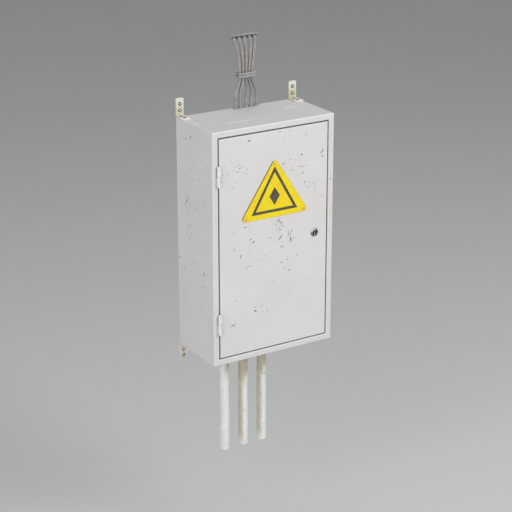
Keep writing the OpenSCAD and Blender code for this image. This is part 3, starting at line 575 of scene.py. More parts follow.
def case_coat():
    clusters = [(on_side(y, z), mm(20, inwards, up), more) for y, z, inwards, up, more in (
        (-50, 98, 22, 26, 0.4), (-59, 20, 22, 26, 0.34), (-84, 170, 24, 36, 0.2),
        (-126, -80, 26, 60, 0.2))]
    clusters += knocked(on_side(y, z) for y, z in (
        (-36, 254), (-49, 257), (-124, 218), (-88, 190), (-54, 68), (-96, 91), (-132, 112),
        (-35, -77), (-128, -26), (-118, -91), (-118, -167), (-9, -60)))
    clusters += knocked(on_front(x, z) for x, z in ((16, -292), (151, -292), (-49, -291)))
    scratches = [(on_side(-46, 95), on_side(-50, 102), 1.8)]
    rubs = [(on_top(x, y), mm(across, inwards, 5)) for x, y, across, inwards in (
        (-165, -74, 7, 52), (164, -44, 14, 26), (60, -1, 150, 7), (-60, -118, 70, 12),
        (112, -70, 34, 22))]
    return chipped_coat("case powder coat", "case", shade_of(WHITE, 0.985), clusters,
                        scratches, 0.006, rubs)


def hinge_coat():
    finish = new_finish("hinge paint", IOR=1.5)
    edges = eased(0.4, 6)
    coat = mottled((0.80, 0.79, 0.775), (0.725, 0.715, 0.675), 14, 0.6)
    worn = times(edges["Rub"], 0.3)
    # Painted shade with some dirt round the barrels and leaves.
    coat = dirtied_and_shaded(tint(worn, coat, (0.55, 0.54, 0.53)), 2, 0.25)
    rough = scaled(worn, -0.2, 0.42)
    return dress(finish, coat, rough, grain(1.2), 0.012, edges)


def bracket_coat():
    """Cream paint gone yellow-green towards the fold, paler on the lower pair partly as painted
    light, and near black in its countersinks as painted shade with some dirt.
    """
    finish = new_finish("bracket paint", IOR=1.5)
    edges = eased(0.5, 7)
    at = place()
    y, z = part_of(at, 1), part_of(at, 2)
    green = mottled((0.61, 0.60, 0.44), (0.45, 0.44, 0.26), 17, 0.85)
    # Paler pinkish beige on the lower brackets, partly their paint and partly painted light that
    # lifts the shadow the case casts on them.
    green = tint(ramp(z, 0, -1 * MM), green, (0.80, 0.73, 0.65))
    wander = times(noise(at, 60), 22 * MM)
    near_fold = ramp(calc("ADD", calc("ABSOLUTE", z), wander),
                     case_high.z + 56 * MM, case_high.z + 22 * MM, 0.12, 0.95)
    on_wall = ramp(y, -9 * MM, -3 * MM, 0.25, 1)
    coat = tint(times(near_fold, on_wall), (0.70, 0.68, 0.645), green)
    toe = ramp(y, -21 * MM, -30 * MM, 0, 0.85)
    coat = tint(toe, coat, (0.84, 0.838, 0.83))
    coat = rubbed(edges, 0.6, coat, (0.80, 0.79, 0.74))
    bare = chips(6, 1.3, 0.14)["Mask"]
    coat = tint(bare, coat, (0.20, 0.16, 0.11))
    patchy = ramp(noise(at, 260), 0.3, 0.6, 0.8, 1)
    # Painted shade with some dirt: near black in every countersink.
    coat = tint(times(countersinks(), patchy), coat, (0.040, 0.033, 0.018))
    # Painted shade with some dirt in the bracket's inner corner and round its screws.
    coat = dirtied_and_shaded(coat, 4, 0.7, (0.12, 0.10, 0.06))
    height = calc("SUBTRACT", times(grain(1.4), 0.2), bare)
    return dress(finish, coat, clouds(90, 0.4, 0.62), height, 0.08, edges)


def countersinks():
    """1 inside the countersink of every bracket hole."""
    low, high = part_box("bracket_top_right")
    middle = (low.x + high.x) / 2
    at = put("ShaderNodeVectorMath", {0: place()}, operation="ABSOLUTE").outputs[0]
    inside = 0.0
    holes = [((middle, 0, low.z + rise - 0.6 * MM), (1, 0, 1)) for rise in WALL_HOLES]
    holes += [((middle, reach, low.z), (1, 1, 0)) for reach in CASE_HOLES]
    for centre, plane in holes:
        off = vector("MULTIPLY", vector("SUBTRACT", at, centre), plane)
        sunk = ramp(vector("LENGTH", off), 5.1 * MM, 4.5 * MM)
        inside = calc("ADD", inside, sunk)
    return inside


def sign_enamel():
    """Yellow enamel, orange-brown at its corners and dark along its left edge."""
    finish = new_finish("sign enamel", IOR=1.45, Coat_Roughness=0.2)
    edges = eased(0.5, 9)
    coat = mottled((0.855, 0.695, 0.004), (0.82, 0.575, 0.004), 34, 0.7)
    coat = rubbed(edges, 0.8, coat, (0.50, 0.24, 0.03))
    for x in (-88, 88):
        corner = patch((x * MM, sign_low.y, 65 * MM), mm(20, 10, 13))
        coat = tint(times(corner, 0.4), coat, (0.62, 0.36, 0.03))
    coat = tint(left_edge(3 * MM), coat, (0.13, 0.062, 0.028))
    bare = chips(11, 1.1, 0.08)["Mask"]
    coat = tint(bare, coat, (0.35, 0.22, 0.06))
    # Painted shade with some brown dirt round the rivets.
    coat = dirtied_and_shaded(coat, 3, 0.4, (0.33, 0.19, 0.03))
    height = calc("SUBTRACT", times(grain(2), 0.15), bare)
    return dress(finish, coat, clouds(60, 0.38, 0.52), height, 0.05, edges,
                 Coat_Weight=scaled(edges["Rub"], -0.1, 0.1))


def left_edge(width):
    """1 along the plate's slanted left edge, within about a width of it."""
    rise = sign_high.z - sign_low.z - 2 * SIGN_CORNER
    half = (sign_high.x - sign_low.x) / 2 - SIGN_CORNER
    away = Vector((-rise, 0, half)).normalized()
    foot = Vector((sign_low.x + SIGN_CORNER, 0, sign_low.z + SIGN_CORNER))
    off = vector("DOT_PRODUCT", vector("SUBTRACT", place(), foot), away)
    wander = times(noise(place(), 70, 3), 1.6 * MM)
    return ramp(calc("ADD", off, wander), SIGN_CORNER + 0.8 * MM - width,
                SIGN_CORNER + 1.4 * MM - width / 2, 0, 0.9)


def sign_ink():
    """Black screen print, greyed by weather, with yellow showing through its nicks."""
    finish = new_finish("sign ink", IOR=1.45)
    ink = mottled((0.066, 0.055, 0.040), (0.10, 0.086, 0.060), 14, 0.9)
    ink = tint(chips(5, 0.9, 0.10)["Mask"], ink, (0.70, 0.52, 0.02))
    return dress(finish, ink, clouds(90, 0.45, 0.62), grain(1.5), 0.01, eased(0.05, 5))


def plated(name, colour, dull, rough, edge_radius, lines, shade_and_dirt=0.4, spangle=0.0):
    """Bare or plated metal: drawn lines or zinc spangle, dull spots, and corners darkened by dirt
    and painted shade.
    """
    finish = new_finish(name)
    edges = eased(edge_radius, 5)
    metal = mottled(colour, dull, 9, 0.7)
    drawn = brushed(lines)
    metal = tint(ramp(drawn, 0.35, 0.75, 0, 0.35), metal, dull)
    if spangle:
        flowers = put("ShaderNodeTexVoronoi", {"Vector": place(), "Scale": 1 / (spangle * MM)})
        bloom = put("ShaderNodeSeparateColor", {0: flowers.outputs["Color"]}).outputs[0]
        metal = tint(times(bloom, 0.5), metal, shade_of(colour, 0.72))
    metal = rubbed(edges, 0.5, metal, shade_of(colour, 1.15))
    # Painted shade with some dirt in corners; it also takes away the metal's shine.
    dirt_and_shade_share = effect("grime_and_shade", Reach=3 * MM, Amount=shade_and_dirt)["Share"]
    sheen = scaled(drawn, 0.22, rough - 0.11)
    return dress(finish, tint(dirt_and_shade_share, metal, DIRT_AND_SHADE), scaled(dirt_and_shade_share, 0.4, sheen), drawn, 0.008, edges,
                 Metallic=scaled(dirt_and_shade_share, -0.85, 1.0))


def lock_chrome():
    """Chrome painted dark as a reflection of a dark surround, with a painted highlight on the
    head's upper left.
    """
    finish = new_finish("lock chrome", Metallic=0.9)
    low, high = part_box("lock_body")
    # Painted reflection: the chrome's colour is dark, as if it mirrored a dark wall.
    metal = mottled((0.17, 0.17, 0.17), (0.33, 0.325, 0.32), 5, 0.8)
    # Painted highlight: a bright patch on the head's upper left.
    bright = patch(((low.x + high.x) / 2 - 7 * MM, low.y, 7 * MM), mm(8.5, 20, 8.5))
    metal = tint(bright, metal, (0.86, 0.86, 0.85))
    # Painted shade with some dirt round the core and under the rim.
    metal = dirtied_and_shaded(metal, 2, 0.8, (0.05, 0.045, 0.04))
    drawn = brushed(LINES_Y)
    rough = scaled(drawn, 0.2, 0.16)
    return dress(finish, metal, rough, drawn, 0.006, eased(0.4, 3))


def lock_core_metal():
    """Core near black on its recessed faces as painted shade, lighter on its flush front face, the
    driving bar's.
    """
    finish = new_finish("lock core metal", Metallic=0.85)
    edges = eased(0.3, 3)
    metal = mottled((0.022, 0.022, 0.024), (0.05, 0.046, 0.043), 4, 0.8)
    # Only the flush front face is lighter; the recessed faces stay near black as painted shade.
    face = ramp(part_of(place(), 1), door_low.y - 1.2 * MM, door_low.y - 2.2 * MM)
    metal = tint(face, metal, (0.40, 0.40, 0.395))
    metal = rubbed(edges, 0.4, metal, (0.50, 0.49, 0.48))
    rough = clouds(500, 0.28, 0.45)
    return dress(finish, metal, rough, rough, 0.02, edges)


def seal_foam():
    finish = new_finish("seal foam", IOR=1.4)
    foam = mottled((0.030, 0.030, 0.031), (0.055, 0.053, 0.050), 20, 0.9)
    cells = put("ShaderNodeTexVoronoi", {"Vector": place(), "Scale": 1400.0})
    pores = ramp(cells.outputs["Distance"], 0.2, 0.6)
    foam = tint(pores, (0.015, 0.015, 0.015), foam)
    return dress(finish, foam, ramp(pores, 0, 1, 0.95, 0.8), pores, 0.15, eased(0.8, 9))


def conduit_plastic(name, axis_x, stained_side, stain_low, collar):
    """White rigid conduit with an olive stain down one side, all round just below the case."""
    finish = new_finish(name, IOR=1.5)
    edges = eased(0.4, 6)
    tone = mottled((0.795, 0.79, 0.78), (0.73, 0.71, 0.695), 30, 0.7)
    at = place()
    z = part_of(at, 2)
    off_axis = vector("SUBTRACT", at, (axis_x * MM, CONDUIT_Y, 0))
    across = vector("DOT_PRODUCT", off_axis, stained_side)
    wander = scaled(noise(at, 75, 4, 0.65), 13 * MM, -6.5 * MM)
    lifted = scaled(noise(at, 90, 3), 44 * MM, z)
    below = ramp(lifted, (collar - 30) * MM, (collar + 30) * MM, 0, 14 * MM)
    edge = calc("ADD", calc("ADD", across, wander), below)
    reach = times(ramp(z, (stain_low - 25) * MM, (stain_low + 25) * MM),
                  ramp(z, STAIN_TOP + 12 * MM, STAIN_TOP - 12 * MM))
    sided = times(ramp(edge, -5 * MM, 6 * MM), reach)
    streaked = scaled(runs(7, 90), 0.2, 0.78)
    olive = mottled((0.500, 0.465, 0.315), (0.40, 0.365, 0.215), 13, 0.8)
    tone = tint(times(sided, streaked, clamp=True), tone, olive)
    pits = chips(11, 2, 0.3)["Mask"]
    tone = tint(times(pits, 0.85), tone, (0.26, 0.20, 0.13))
    tone = rubbed(edges, 0.8, tone, (0.92, 0.915, 0.90))
    # Painted shade with some dirt where the conduit meets its fittings.
    tone = dirtied_and_shaded(tone, 6, 0.4)
    height = calc("SUBTRACT", times(brushed(LINES_Z, 700), 0.2), pits)
    return dress(finish, tone, clouds(70, 0.32, 0.5), height, 0.04, edges)


def cable_sheath():
    """Mottled grey sheath, faintly tan where it has baked above the clip, bruised below."""
    finish = new_finish("cable sheath", IOR=1.5, Coat_Roughness=0.3)
    tone = mottled((0.365, 0.352, 0.345), (0.255, 0.243, 0.243), 20, 0.8)
    baked, bruised = (0.43, 0.365, 0.285), (0.270, 0.240, 0.258)
    for x, z, across, up, colour in ((8, 408, 20, 34, baked), (34, 414, 20, 34, baked),
                                     (36, 340, 34, 40, bruised)):
        spot = patch(mm(x, -9, z), mm(across, 30, up))
        tone = tint(times(spot, 0.6), tone, colour)
    speckle = ramp(noise(place(), 330, 2), 0.42, 0.68, 0, 0.5)
    tone = tint(speckle, tone, (0.17, 0.163, 0.16))
    # Painted shade with some dirt, near black, between and behind the cables.
    tone = dirtied_and_shaded(tone, 7, 0.8, (0.07, 0.06, 0.055))
    return dress(finish, tone, clouds(120, 0.36, 0.55), grain(0.9), 0.03, eased(0.3, 6),
                 Coat_Weight=ramp(noise(place(), 45), 0.35, 0.7, 0, 0.2))


def clip_coat(name, colour, flange_front=0.0):
    """Grey paint, pale along every folded edge, with a painted highlight on flanges that stand
    before a front, which leaves the recessed face darker.
    """
    finish = new_finish(name, IOR=1.5, Metallic=0.1)
    edges = eased(0.8, 5)
    tone = mottled(colour, shade_of(colour, 0.72), 12, 0.8)
    pale = times(edges["Rub"], 0.7, clamp=True)
    # Painted highlight: flange fronts paler than the recessed face between them.
    if flange_front:
        forward = ramp(part_of(place(), 1), flange_front, flange_front - 1.5 * MM, 0, 0.8)
        pale = calc("MAXIMUM", pale, forward)
    tone = tint(pale, tone, (0.50, 0.49, 0.475))
    tone = tint(chips(7, 1.2, 0.2)["Mask"], tone, (0.42, 0.40, 0.37))
    # Painted shade with some dirt in the clip's channel and corners.
    tone = dirtied_and_shaded(tone, 4, 0.35, (0.06, 0.055, 0.05))
    return dress(finish, tone, clouds(110, 0.38, 0.6), grain(1.2), 0.03, edges)


def moulded(name, colour, rough, grain_size=0.7, shade_and_dirt=0.35):
    """Moulded plastic or rubber: fine tool grain, dusty tops and grey edges."""
    finish = new_finish(name, IOR=1.5)
    edges = eased(0.35, 5)
    tone = mottled(colour, shade_of(colour, 0.82), 22, 0.7)
    pale = tuple(part + (0.75 - part) * 0.25 for part in colour)
    tone = rubbed(edges, 0.5, tone, pale)
    # Painted shade with some dirt in the moulding's corners.
    tone = dirtied_and_shaded(tone, 5, shade_and_dirt, shade_of(DIRT_AND_SHADE, 0.6))
    settled = effect("dust", Amount=0.35)["Share"]
    smear = clouds(60, rough - 0.06, rough + 0.08)
    return dress(finish, tint(settled, tone, DUST), scaled(settled, 0.4, smear),
                 grain(grain_size), 0.03, edges)


def floor_finish():
    finish = new_finish("studio floor", Specular_IOR_Level=0.2)
    tone = mottled((0.60, 0.60, 0.60), (0.585, 0.585, 0.585), 1300, 0.5)
    return dress(finish, tone, clouds(3, 0.75, 0.85))


def finish_frame():
    """Gives every node of the frame its finish and returns the finishes by name."""
    left_side, right_side = (-0.85, 0.53, 0), (0.85, -0.53, 0)
    made = [
        (case_coat(), ["case"]),
        (door_coat(), ["door"]),
        (hinge_coat(), ["hinge_frame_halves", "hinge_door_halves"]),
        (bracket_coat(), ["bracket_top_left", "bracket_top_right", "bracket_bottom_left",
                          "bracket_bottom_right"]),
        (sign_enamel(), ["sign_plate"]),
        (clip_coat("painted screw head", (0.66, 0.645, 0.55)), []),
        (plated("yellowed rivet metal", (0.80, 0.68, 0.36), (0.62, 0.46, 0.16), 0.5, 0.3,
                LINES_Y), ["sign_rivets"]),
        (plated("bright zinc", (0.60, 0.60, 0.585), (0.40, 0.40, 0.385), 0.34, 0.3, LINES_Y),
         ["lock_tongue", "tongue_screw", "lock_nut", "plate_nuts", "rail_screws",
          "bracket_nuts"]),
        # Near-black screws in the brackets' case legs: painted shade, so their holes read dark.
        (plated("zinc darkened as painted shade", (0.13, 0.12, 0.10), (0.05, 0.043, 0.034), 0.55, 0.3, LINES_Z,
                1), ["bracket_screws"]),
        (plated("spangled steel", (0.62, 0.63, 0.63), (0.46, 0.47, 0.47), 0.42, 0.4, LINES_X,
                spangle=9), ["mounting_plate", "rail_upper", "rail_middle", "rail_lower"]),
        (plated("bronze washer metal", (0.62, 0.57, 0.48), (0.50, 0.44, 0.34), 0.5, 0.2,
                LINES_Y, 0.1), ["hinge_washers"]),
        (lock_chrome(), ["lock_body"]),
        (lock_core_metal(), ["lock_core"]),
        (seal_foam(), ["door_seal"]),
        (conduit_plastic("left conduit plastic", -69, right_side, -380, -200), ["conduit_1"]),
        (conduit_plastic("middle conduit plastic", -12, left_side, -590, -387), ["conduit_2"]),
        (conduit_plastic("right conduit plastic", 45, left_side, -590, -372), ["conduit_3"]),
        (moulded("conduit fitting plastic", (0.70, 0.69, 0.655), 0.42),
         ["conduit_adaptors", "conduit_locknuts"]),
        (cable_sheath(), CABLES),
        (moulded("grommet rubber", (0.290, 0.280, 0.275), 0.62, 1.1, 0.6), ["cable_grommets"]),
        (clip_coat("clip paint", (0.350, 0.343, 0.335), -16 * MM), ["clip_base", "clip_cover"]),
        (clip_coat("hood paint", (0.345, 0.340, 0.335)), ["wall_hood"]),
        (moulded("duct plastic", (0.315, 0.330, 0.345), 0.44, 0.9),
         ["side_ducts", "cross_ducts", "duct_covers"]),
        (moulded("switchgear plastic", (0.600, 0.605, 0.590), 0.46), SWITCHES),
        (moulded("red handle plastic", (0.480, 0.018, 0.014), 0.34), ["main_handle"]),
        (moulded("black lever plastic", (0.022, 0.022, 0.024), 0.36),
         numbered("breaker_lever", 4) + numbered("contactor_slider", 2)),
        (moulded("contactor plastic", (0.062, 0.066, 0.072), 0.46), CONTACTORS),
        (moulded("terminal plastic", (0.335, 0.340, 0.335), 0.50), ["terminals", "end_stops"]),
        (plated("earth bar brass", (0.72, 0.53, 0.21), (0.50, 0.34, 0.12), 0.32, 0.3,
                LINES_X), ["earth_bar"]),
        (moulded("post plastic", (0.185, 0.062, 0.028), 0.42), ["earth_posts"]),
    ]
    for finish, nodes in made:
        for node in nodes:
            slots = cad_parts[node].data.materials
            slots.clear()
            slots.append(finish)
    return {finish.name: finish for finish, nodes in made}


# ---- Making pieces ----

def new_piece(name, form, finish, body, smooth_below=None):
    """Piece made from a bmesh, with one finish, that rides on a body."""
    piece = show(name, mesh_of(name, form, smooth_below))
    piece.data.materials.append(finish)
    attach(piece, body)
    return piece


def mesh_of(name, form, smooth_below=None):
    """Mesh from a bmesh; faces that meet below an angle in degrees are shaded smooth."""
    bmesh.ops.recalc_face_normals(form, faces=form.faces)
    if smooth_below:
        for face in form.faces:
            face.smooth = True
        for edge in form.edges:
            edge.smooth = edge.calc_face_angle(math.pi) < math.radians(smooth_below)
    mesh = bpy.data.meshes.new(name)
    form.to_mesh(mesh)
    form.free()
    return mesh


def prism(form, outline, front, thickness):
    """Adds a flat plate to a bmesh: outline in (x, z), front face at y = front."""
    face = form.faces.new([form.verts.new((x, front, z)) for x, z in outline])
    back = bmesh.ops.extrude_face_region(form, geom=[face])["geom"]
    moved = [part for part in back if isinstance(part, bmesh.types.BMVert)]
    bmesh.ops.translate(form, verts=moved, vec=(0, thickness, 0))


def circle_points(x, z, radius, steps):
    angles = [math.tau * k / steps for k in range(steps)]
    return [(x + radius * math.cos(a), z + radius * math.sin(a)) for a in angles]


def bridge(form, near, far):
    """Faces between two rings of as many vertices, or between a ring and a point."""
    for k in range(max(len(near), len(far))):
        corners = [near[k % len(near)], near[(k + 1) % len(near)],
                   far[(k + 1) % len(far)], far[k % len(far)]]
        form.faces.new(list(dict.fromkeys(corners)))


def bridge_all(form, rings):
    for near, far in zip(rings, rings[1:]):
        bridge(form, near, far)


def band(form, outer, inner, front, thickness):
    """Adds the flat band between two outlines in (x, z), which have as many corners."""
    loops = [[form.verts.new((x, y, z)) for x, z in corners]
             for y in (front, front + thickness) for corners in (outer, inner)]
    for a, b in ((0, 1), (1, 3), (3, 2), (2, 0)):
        bridge(form, loops[a], loops[b])


def lathe(form, profile, steps=28):
    """Turned solid round the y axis from (radius, y) points that start and end on it."""
    rings = [[form.verts.new((x, y, z))
              for x, z in circle_points(0, 0, radius, steps if radius else 1)]
             for radius, y in profile]
    bridge_all(form, rings)


def screw_mesh(name, radius, height, shank, recess, countersunk=0.0):
    """Screw whose head faces -y and stands off y = 0, with a cross or a slot; sizes in mm."""
    radius, height, shank, countersunk = mm(radius, height, shank, countersunk)
    crown = 0.32 * height
    profile = [(0, -height), (0.45 * radius, -height + 0.12 * crown),
               (0.8 * radius, -height + 0.5 * crown), (0.97 * radius, -height + crown)]
    if countersunk:
        profile += [(radius, -0.02 * MM), (0.52 * radius, countersunk)]
    else:
        profile += [(radius, -0.45 * height), (radius, 0), (0.5 * radius, 0)]
    profile += [(0.5 * radius, shank), (0, shank)]
    form = bmesh.new()
    lathe(form, profile)
    turned = show(name, mesh_of(name, form))
    cut = bmesh.new()
    for turn in (0, 90) if recess == "cross" else (0,):
        size = Matrix.Diagonal((1.35 * radius, height, 0.3 * radius, 1))
        where = Matrix.Rotation(math.radians(turn), 4, "Y") @ Matrix.Translation((0, -height, 0))
        bmesh.ops.create_cube(cut, size=1, matrix=where @ size)
    cutter = show("cutter", mesh_of("cutter", cut))
    carve = turned.modifiers.new("recess", "BOOLEAN")
    carve.operation = "DIFFERENCE"
    carve.solver = "EXACT"
    carve.use_self = True
    carve.object = cutter
    bpy.context.view_layer.update()
    carved = bpy.data.meshes.new_from_object(turned.evaluated_get(
        bpy.context.evaluated_depsgraph_get()))
    bpy.data.objects.remove(turned)
    bpy.data.objects.remove(cutter)
    return carved


def set_screws(name, screw, places, finish, seed):
    """Copies of one screw at the given places, each turned its own way."""
    pick = random.Random(seed)
    form = bmesh.new()
    for spot in places:
        before = len(form.verts)
        form.from_mesh(screw)
        form.verts.ensure_lookup_table()
        turn = Matrix.Rotation(pick.uniform(0, math.pi), 4, "Y")
        bmesh.ops.transform(form, matrix=Matrix.Translation(spot) @ turn,
                            verts=form.verts[before:])
    new_piece(name, form, finish, "panel", 35)


# ---- Supply cables ----

CABLE_R = 4 * MM
CABLE_BACK = 9.5 * MM
OUTLET_XS = mm(-12.5, 2.5, 17.5, 32.5, 47)
CLIP_XS = mm(3, 12.5, 21.2, 29.6, 38)
ENTRY_XS = mm(-10, 4, 20, 35.5, 51.5)
BOWS_ABOVE = mm(3.7, 3.1, 2.1, 2.7, 0.8)
BOWS_BELOW = mm(-3, -3, 4, 5, 5)
OUTLET_RISE = 178.5 * MM
OUTLET_STUB = 1 * MM
BEND_STEPS = 12
CLIP_RISE, CLIP_HEIGHT, CLIP_LEAD = mm(78, 11, 3)
GROMMET_ABOVE, GROMMET_BELOW = mm(9, 6)
STRAIGHT_END = 12 * MM


def ease(t):
    return t * t * (3 - 2 * t)


def between(start, end, t):
    return start + (end - start) * t


def shares(steps):
    return [k / steps for k in range(1, steps + 1)]


def stretch(start, end, bow, steps):
    """Points of a smooth sideways drift from start to end with a bow in the middle."""
    return [(between(start[0], end[0], ease(t)) + bow * math.sin(math.pi * t) ** 2,
             between(start[1], end[1], ease(t)), between(start[2], end[2], t))
            for t in shares(steps)]


def fan(start, end, bow, steps):
    """Points of a cable that swings across early and arrives straight."""
    return [(between(start[0], end[0], t) + bow * math.sin(math.pi * t ** 0.8), end[1],
             between(start[2], end[2], t)) for t in shares(steps)]


def cable_route(i, last):
    """Out of the wall under the hood, down through the clip and the case's top."""
    top = case_high.z
    bend_r = CABLE_BACK - OUTLET_STUB
    outlet = (OUTLET_XS[i], 0, top + OUTLET_RISE)
    bent = []
    for k in range(BEND_STEPS + 1):
        a = math.pi / 2 * k / BEND_STEPS
        bent.append((OUTLET_XS[i], -OUTLET_STUB - bend_r * math.sin(a),
                     outlet[2] - bend_r * (1 - math.cos(a))))
    over = (CLIP_XS[i], -CABLE_BACK, top + CLIP_RISE + CLIP_HEIGHT + CLIP_LEAD)
    under = (CLIP_XS[i], -CABLE_BACK, top + CLIP_RISE - CLIP_LEAD)
    above = (ENTRY_XS[i], -CABLE_BACK, top + GROMMET_ABOVE)
    below = (ENTRY_XS[i], -CABLE_BACK, top - GROMMET_BELOW)
    mouth = (last[0], last[1], last[2] + STRAIGHT_END)
    return ([outlet] + bent + fan(bent[-1], over, BOWS_ABOVE[i], 20) + [under]
            + stretch(under, above, BOWS_BELOW[i], 18) + [below]
            + stretch(below, mouth, 0, 20) + [last])


def round_tube(points, radius, sides=22):
    form = bmesh.new()
    rings = []
    for i, point in enumerate(points):
        ahead = Vector(points[min(i + 1, len(points) - 1)]) - Vector(points[max(i - 1, 0)])
        ahead.normalize()
        across = (Vector((1, 0, 0)) - ahead * ahead.x).normalized()
        over = ahead.cross(across)
        rings.append([form.verts.new(Vector(point) + c * across + s * over)
                      for c, s in circle_points(0, 0, radius, sides)])
    bridge_all(form, rings)
    form.faces.new(rings[0])
    form.faces.new(rings[-1])
    return form


def cable_end(i):
    """Where a cable stops: a pole of the main switch, or the first hole of the earth bar."""
    poles = SWITCHES["main_switch"]
    if i < poles:
        low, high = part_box("main_switch")
        x = in_a_row((low.x + high.x) / 2, MODULE, poles)[i]
        return (x, RAIL_FRONT - WIRE_HOLE, high.z - 7.5 * MM)
    low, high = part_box("earth_bar")
    return (low.x + EARTH_PITCH / 2, (low.y + high.y) / 2, (low.z + high.z) / 2 + 2 * MM)


def lay_cables(finish):
    """Smooth sheaths that stand in for the frame's faceted cables on the same route."""
    for i, node in enumerate(CABLES):
        form = round_tube(cable_route(i, cable_end(i)), CABLE_R)
        cable = new_piece(f"supply_cable_sheath_{i + 1}", form, finish, "panel", 40)
        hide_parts(node)


# ---- Screws, marks and labels of the gear inside ----

# Depths in front of the rails, distances above and below a device's middle, and sizes of marks
CLAMP_SEAT, CONTACTOR_SEAT, CLAMP_RISE = mm(31, 37, 33)
CONTACTOR_CLAMPS = mm(-15, -5, 5, 15)
TERMINAL_SEAT, TERMINAL_RISE, TERMINAL_GROOVE = mm(22, 15, 35)
SWITCH_FACE, SWITCH_LABEL_DROP, CONTACTOR_LABEL_DROP = mm(38, 27.3, 14)
LABEL_THICKNESS, MARK_THICKNESS, PRINT_THICKNESS = mm(0.3, 0.06, 0.08)
STROKE_HALF, STROKE_FOOT, STROKE_HEAD = mm(0.45, 13.2, 17.6)
RING_DROP, RING_OUTER, RING_INNER = mm(15.4, 2.2, 1.4)


def terminal_xs():
    low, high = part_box("terminals")
    count = round((high.x - low.x) / TERMINAL_PITCH)
    return in_a_row((low.x + high.x) / 2, TERMINAL_PITCH, count)


def fit_gear_screws(finishes):
    """Screws in the wells of switches, contactors and terminals, and on the earth bar."""
    zinc = finishes["bright zinc"]
    places = []
    for node, poles in SWITCHES.items():
        middle, z = middle_of(node)
        places += [(x, RAIL_FRONT - CLAMP_SEAT, z + s * CLAMP_RISE)
                   for x in in_a_row(middle, MODULE, poles) for s in (-1, 1)]
    for node in CONTACTORS:
        x, z = middle_of(node)
        places += [(x + across, RAIL_FRONT - CONTACTOR_SEAT, z + s * CLAMP_RISE)
                   for across in CONTACTOR_CLAMPS for s in (-1, 1)]
    small = screw_mesh("clamp screw", 2.8, 2.6, 1, "cross")
    set_screws("clamp_screws", small, places, zinc, 11)
    z = middle_of("terminals")[1]
    places = [(x, RAIL_FRONT - TERMINAL_SEAT, z + s * TERMINAL_RISE)
              for x in terminal_xs() for s in (-1, 1)]
    fine = screw_mesh("terminal screw", 1.9, 1.6, 1, "slot")
    set_screws("terminal_screws", fine, places, zinc, 12)
    low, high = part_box("earth_bar")
    z = (low.z + high.z) / 2
    places = [(low.x + (i + 0.5) * EARTH_PITCH, low.y + 4 * MM, z) for i in range(4)]
    grub = screw_mesh("grub screw", 1.85, 1.4, 1, "slot")
    set_screws("earth_grub_screws", grub, places, zinc, 13)
    places = [(low.x + i * EARTH_PITCH, low.y, z) for i in (1, 3)]
    cheese = screw_mesh("post screw", 3.6, 2.4, 1, "slot")
    set_screws("earth_post_screws", cheese, places, finishes["earth bar brass"], 14)


def fit_wall_screws(finishes):
    """Raised countersunk screws in the brackets' wall legs, and the clip's two screws."""
    screw = screw_mesh("wall screw", 2.6, 1.6, 2.4, "slot", 1.2)
    places = []
    for side in ("left", "right"):
        low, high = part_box(f"bracket_top_{side}")
        x = (low.x + high.x) / 2
        places += [(x, -2.5 * MM, s * (low.z + rise)) for rise in WALL_HOLES for s in (-1, 1)]
    set_screws("wall_screws", screw, places, finishes["painted screw head"], 15)
    low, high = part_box("clip_cover")
    places = [(x, low.y + 3 * MM, (low.z + high.z) / 2) for x in (low.x + 4 * MM, high.x - 4 * MM)]
    pan = screw_mesh("clip screw", 2.4, 1.8, 1, "slot")
    set_screws("clip_screws", pan, places, finishes["clip paint"], 16)


def mark_switches(ink):
    """I and O beside every lever, printed on the fixed nose."""
    form = bmesh.new()
    for node in SWITCHES:
        x, z = middle_of(node)
        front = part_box(node)[0].y - MARK_THICKNESS
        foot, head = z + STROKE_FOOT, z + STROKE_HEAD
        stroke = [(x - STROKE_HALF, foot), (x + STROKE_HALF, foot),
                  (x + STROKE_HALF, head), (x - STROKE_HALF, head)]
        prism(form, stroke, front, MARK_THICKNESS)
        outer, inner = [circle_points(x, z - RING_DROP, radius, 28)
                        for radius in (RING_OUTER, RING_INNER)]
        band(form, outer, inner, front, MARK_THICKNESS)
    new_piece("switch_marks", form, ink, "panel")


def label_plate(form, x, z, face, width, height, thickness, corner):
    """Adds a blank label with clipped corners, lying on a face, to a bmesh."""
    w, h = width / 2, height / 2
    half = ((corner - w, -h), (w - corner, -h), (w, corner - h), (w, h - corner))
    outline = [(x + s * across, z + s * up) for s in (1, -1) for across, up in half]
    prism(form, outline, face - thickness, thickness)


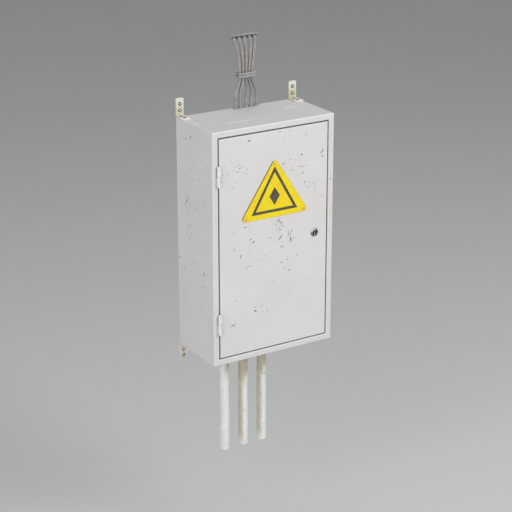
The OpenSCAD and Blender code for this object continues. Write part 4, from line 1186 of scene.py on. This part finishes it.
def fit_labels(finish):
    """Blank write-on labels on the gear and tags in the terminals' groove."""
    form = bmesh.new()
    for node, poles in SWITCHES.items():
        x, z = middle_of(node)
        label_plate(form, x, z - SWITCH_LABEL_DROP, RAIL_FRONT - SWITCH_FACE,
                    poles * MODULE - 4 * MM, 4.6 * MM, LABEL_THICKNESS, 0.5 * MM)
    for node in CONTACTORS:
        x, z = middle_of(node)
        label_plate(form, x, z - CONTACTOR_LABEL_DROP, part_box(node)[0].y, 24 * MM, 7 * MM,
                    LABEL_THICKNESS, 0.6 * MM)
    z = middle_of("terminals")[1]
    for x in terminal_xs():
        label_plate(form, x, z, RAIL_FRONT - TERMINAL_GROOVE, 5.2 * MM, 7 * MM, 0.9 * MM, 0.4 * MM)
    new_piece("blank_labels", form, finish, "panel")


# ---- The sign's print, in mm from the middle of the plate's foot ----

PRINT_RISE = 15 * MM
BORDER = [(-67, -1.8), (67, -1.8), (0, 114.5)]
BORDER_WIDTH = 7.3
LOZENGE = [(0, 62), (15, 39), (0, 16), (-15, 39)]


def inset(corners, width):
    """Corners of the triangle that lies a width inside a triangle."""
    lines = []
    for i in range(3):
        a, b = Vector(corners[i]), Vector(corners[(i + 1) % 3])
        along = (b - a).normalized()
        inwards = Vector((-along.y, along.x))
        lines.append((a + inwards * width, along))
    found = []
    for i in range(3):
        (p, u), (q, v) = lines[i - 1], lines[i]
        gap = q - p
        found.append(p + u * (gap.x * v.y - gap.y * v.x) / (u.x * v.y - u.y * v.x))
    return found


def print_sign(ink):
    """Plain dark border and a lozenge, a thin print on the plate."""
    middle, foot = (sign_low.x + sign_high.x) / 2, sign_low.z + PRINT_RISE
    outer, inner, lozenge = [[(middle + x * MM, foot + z * MM) for x, z in corners]
                             for corners in (BORDER, inset(BORDER, BORDER_WIDTH), LOZENGE)]
    form = bmesh.new()
    front = sign_low.y - PRINT_THICKNESS
    band(form, outer, inner, front, PRINT_THICKNESS)
    prism(form, lozenge, front, PRINT_THICKNESS)
    new_piece("sign_print", form, ink, "door")


FLOOR_HALF = 20
FLOOR_DROP = 0.25


def lay_floor():
    form = bmesh.new()
    level = cad_low.z - FLOOR_DROP
    form.faces.new([form.verts.new((x * FLOOR_HALF, y * FLOOR_HALF, level))
                    for x, y in ((-1, -1), (1, -1), (1, 1), (-1, 1))])
    floor = show("floor", mesh_of("floor", form))
    floor.data.materials.append(floor_finish())


aim_camera()
light_studio()
build_effects()
finishes = finish_frame()
ink = sign_ink()
lay_cables(finishes["cable sheath"])
fit_wall_screws(finishes)
fit_gear_screws(finishes)
mark_switches(ink)
fit_labels(moulded("label plastic", (0.72, 0.715, 0.68), 0.4))
print_sign(ink)
lay_floor()
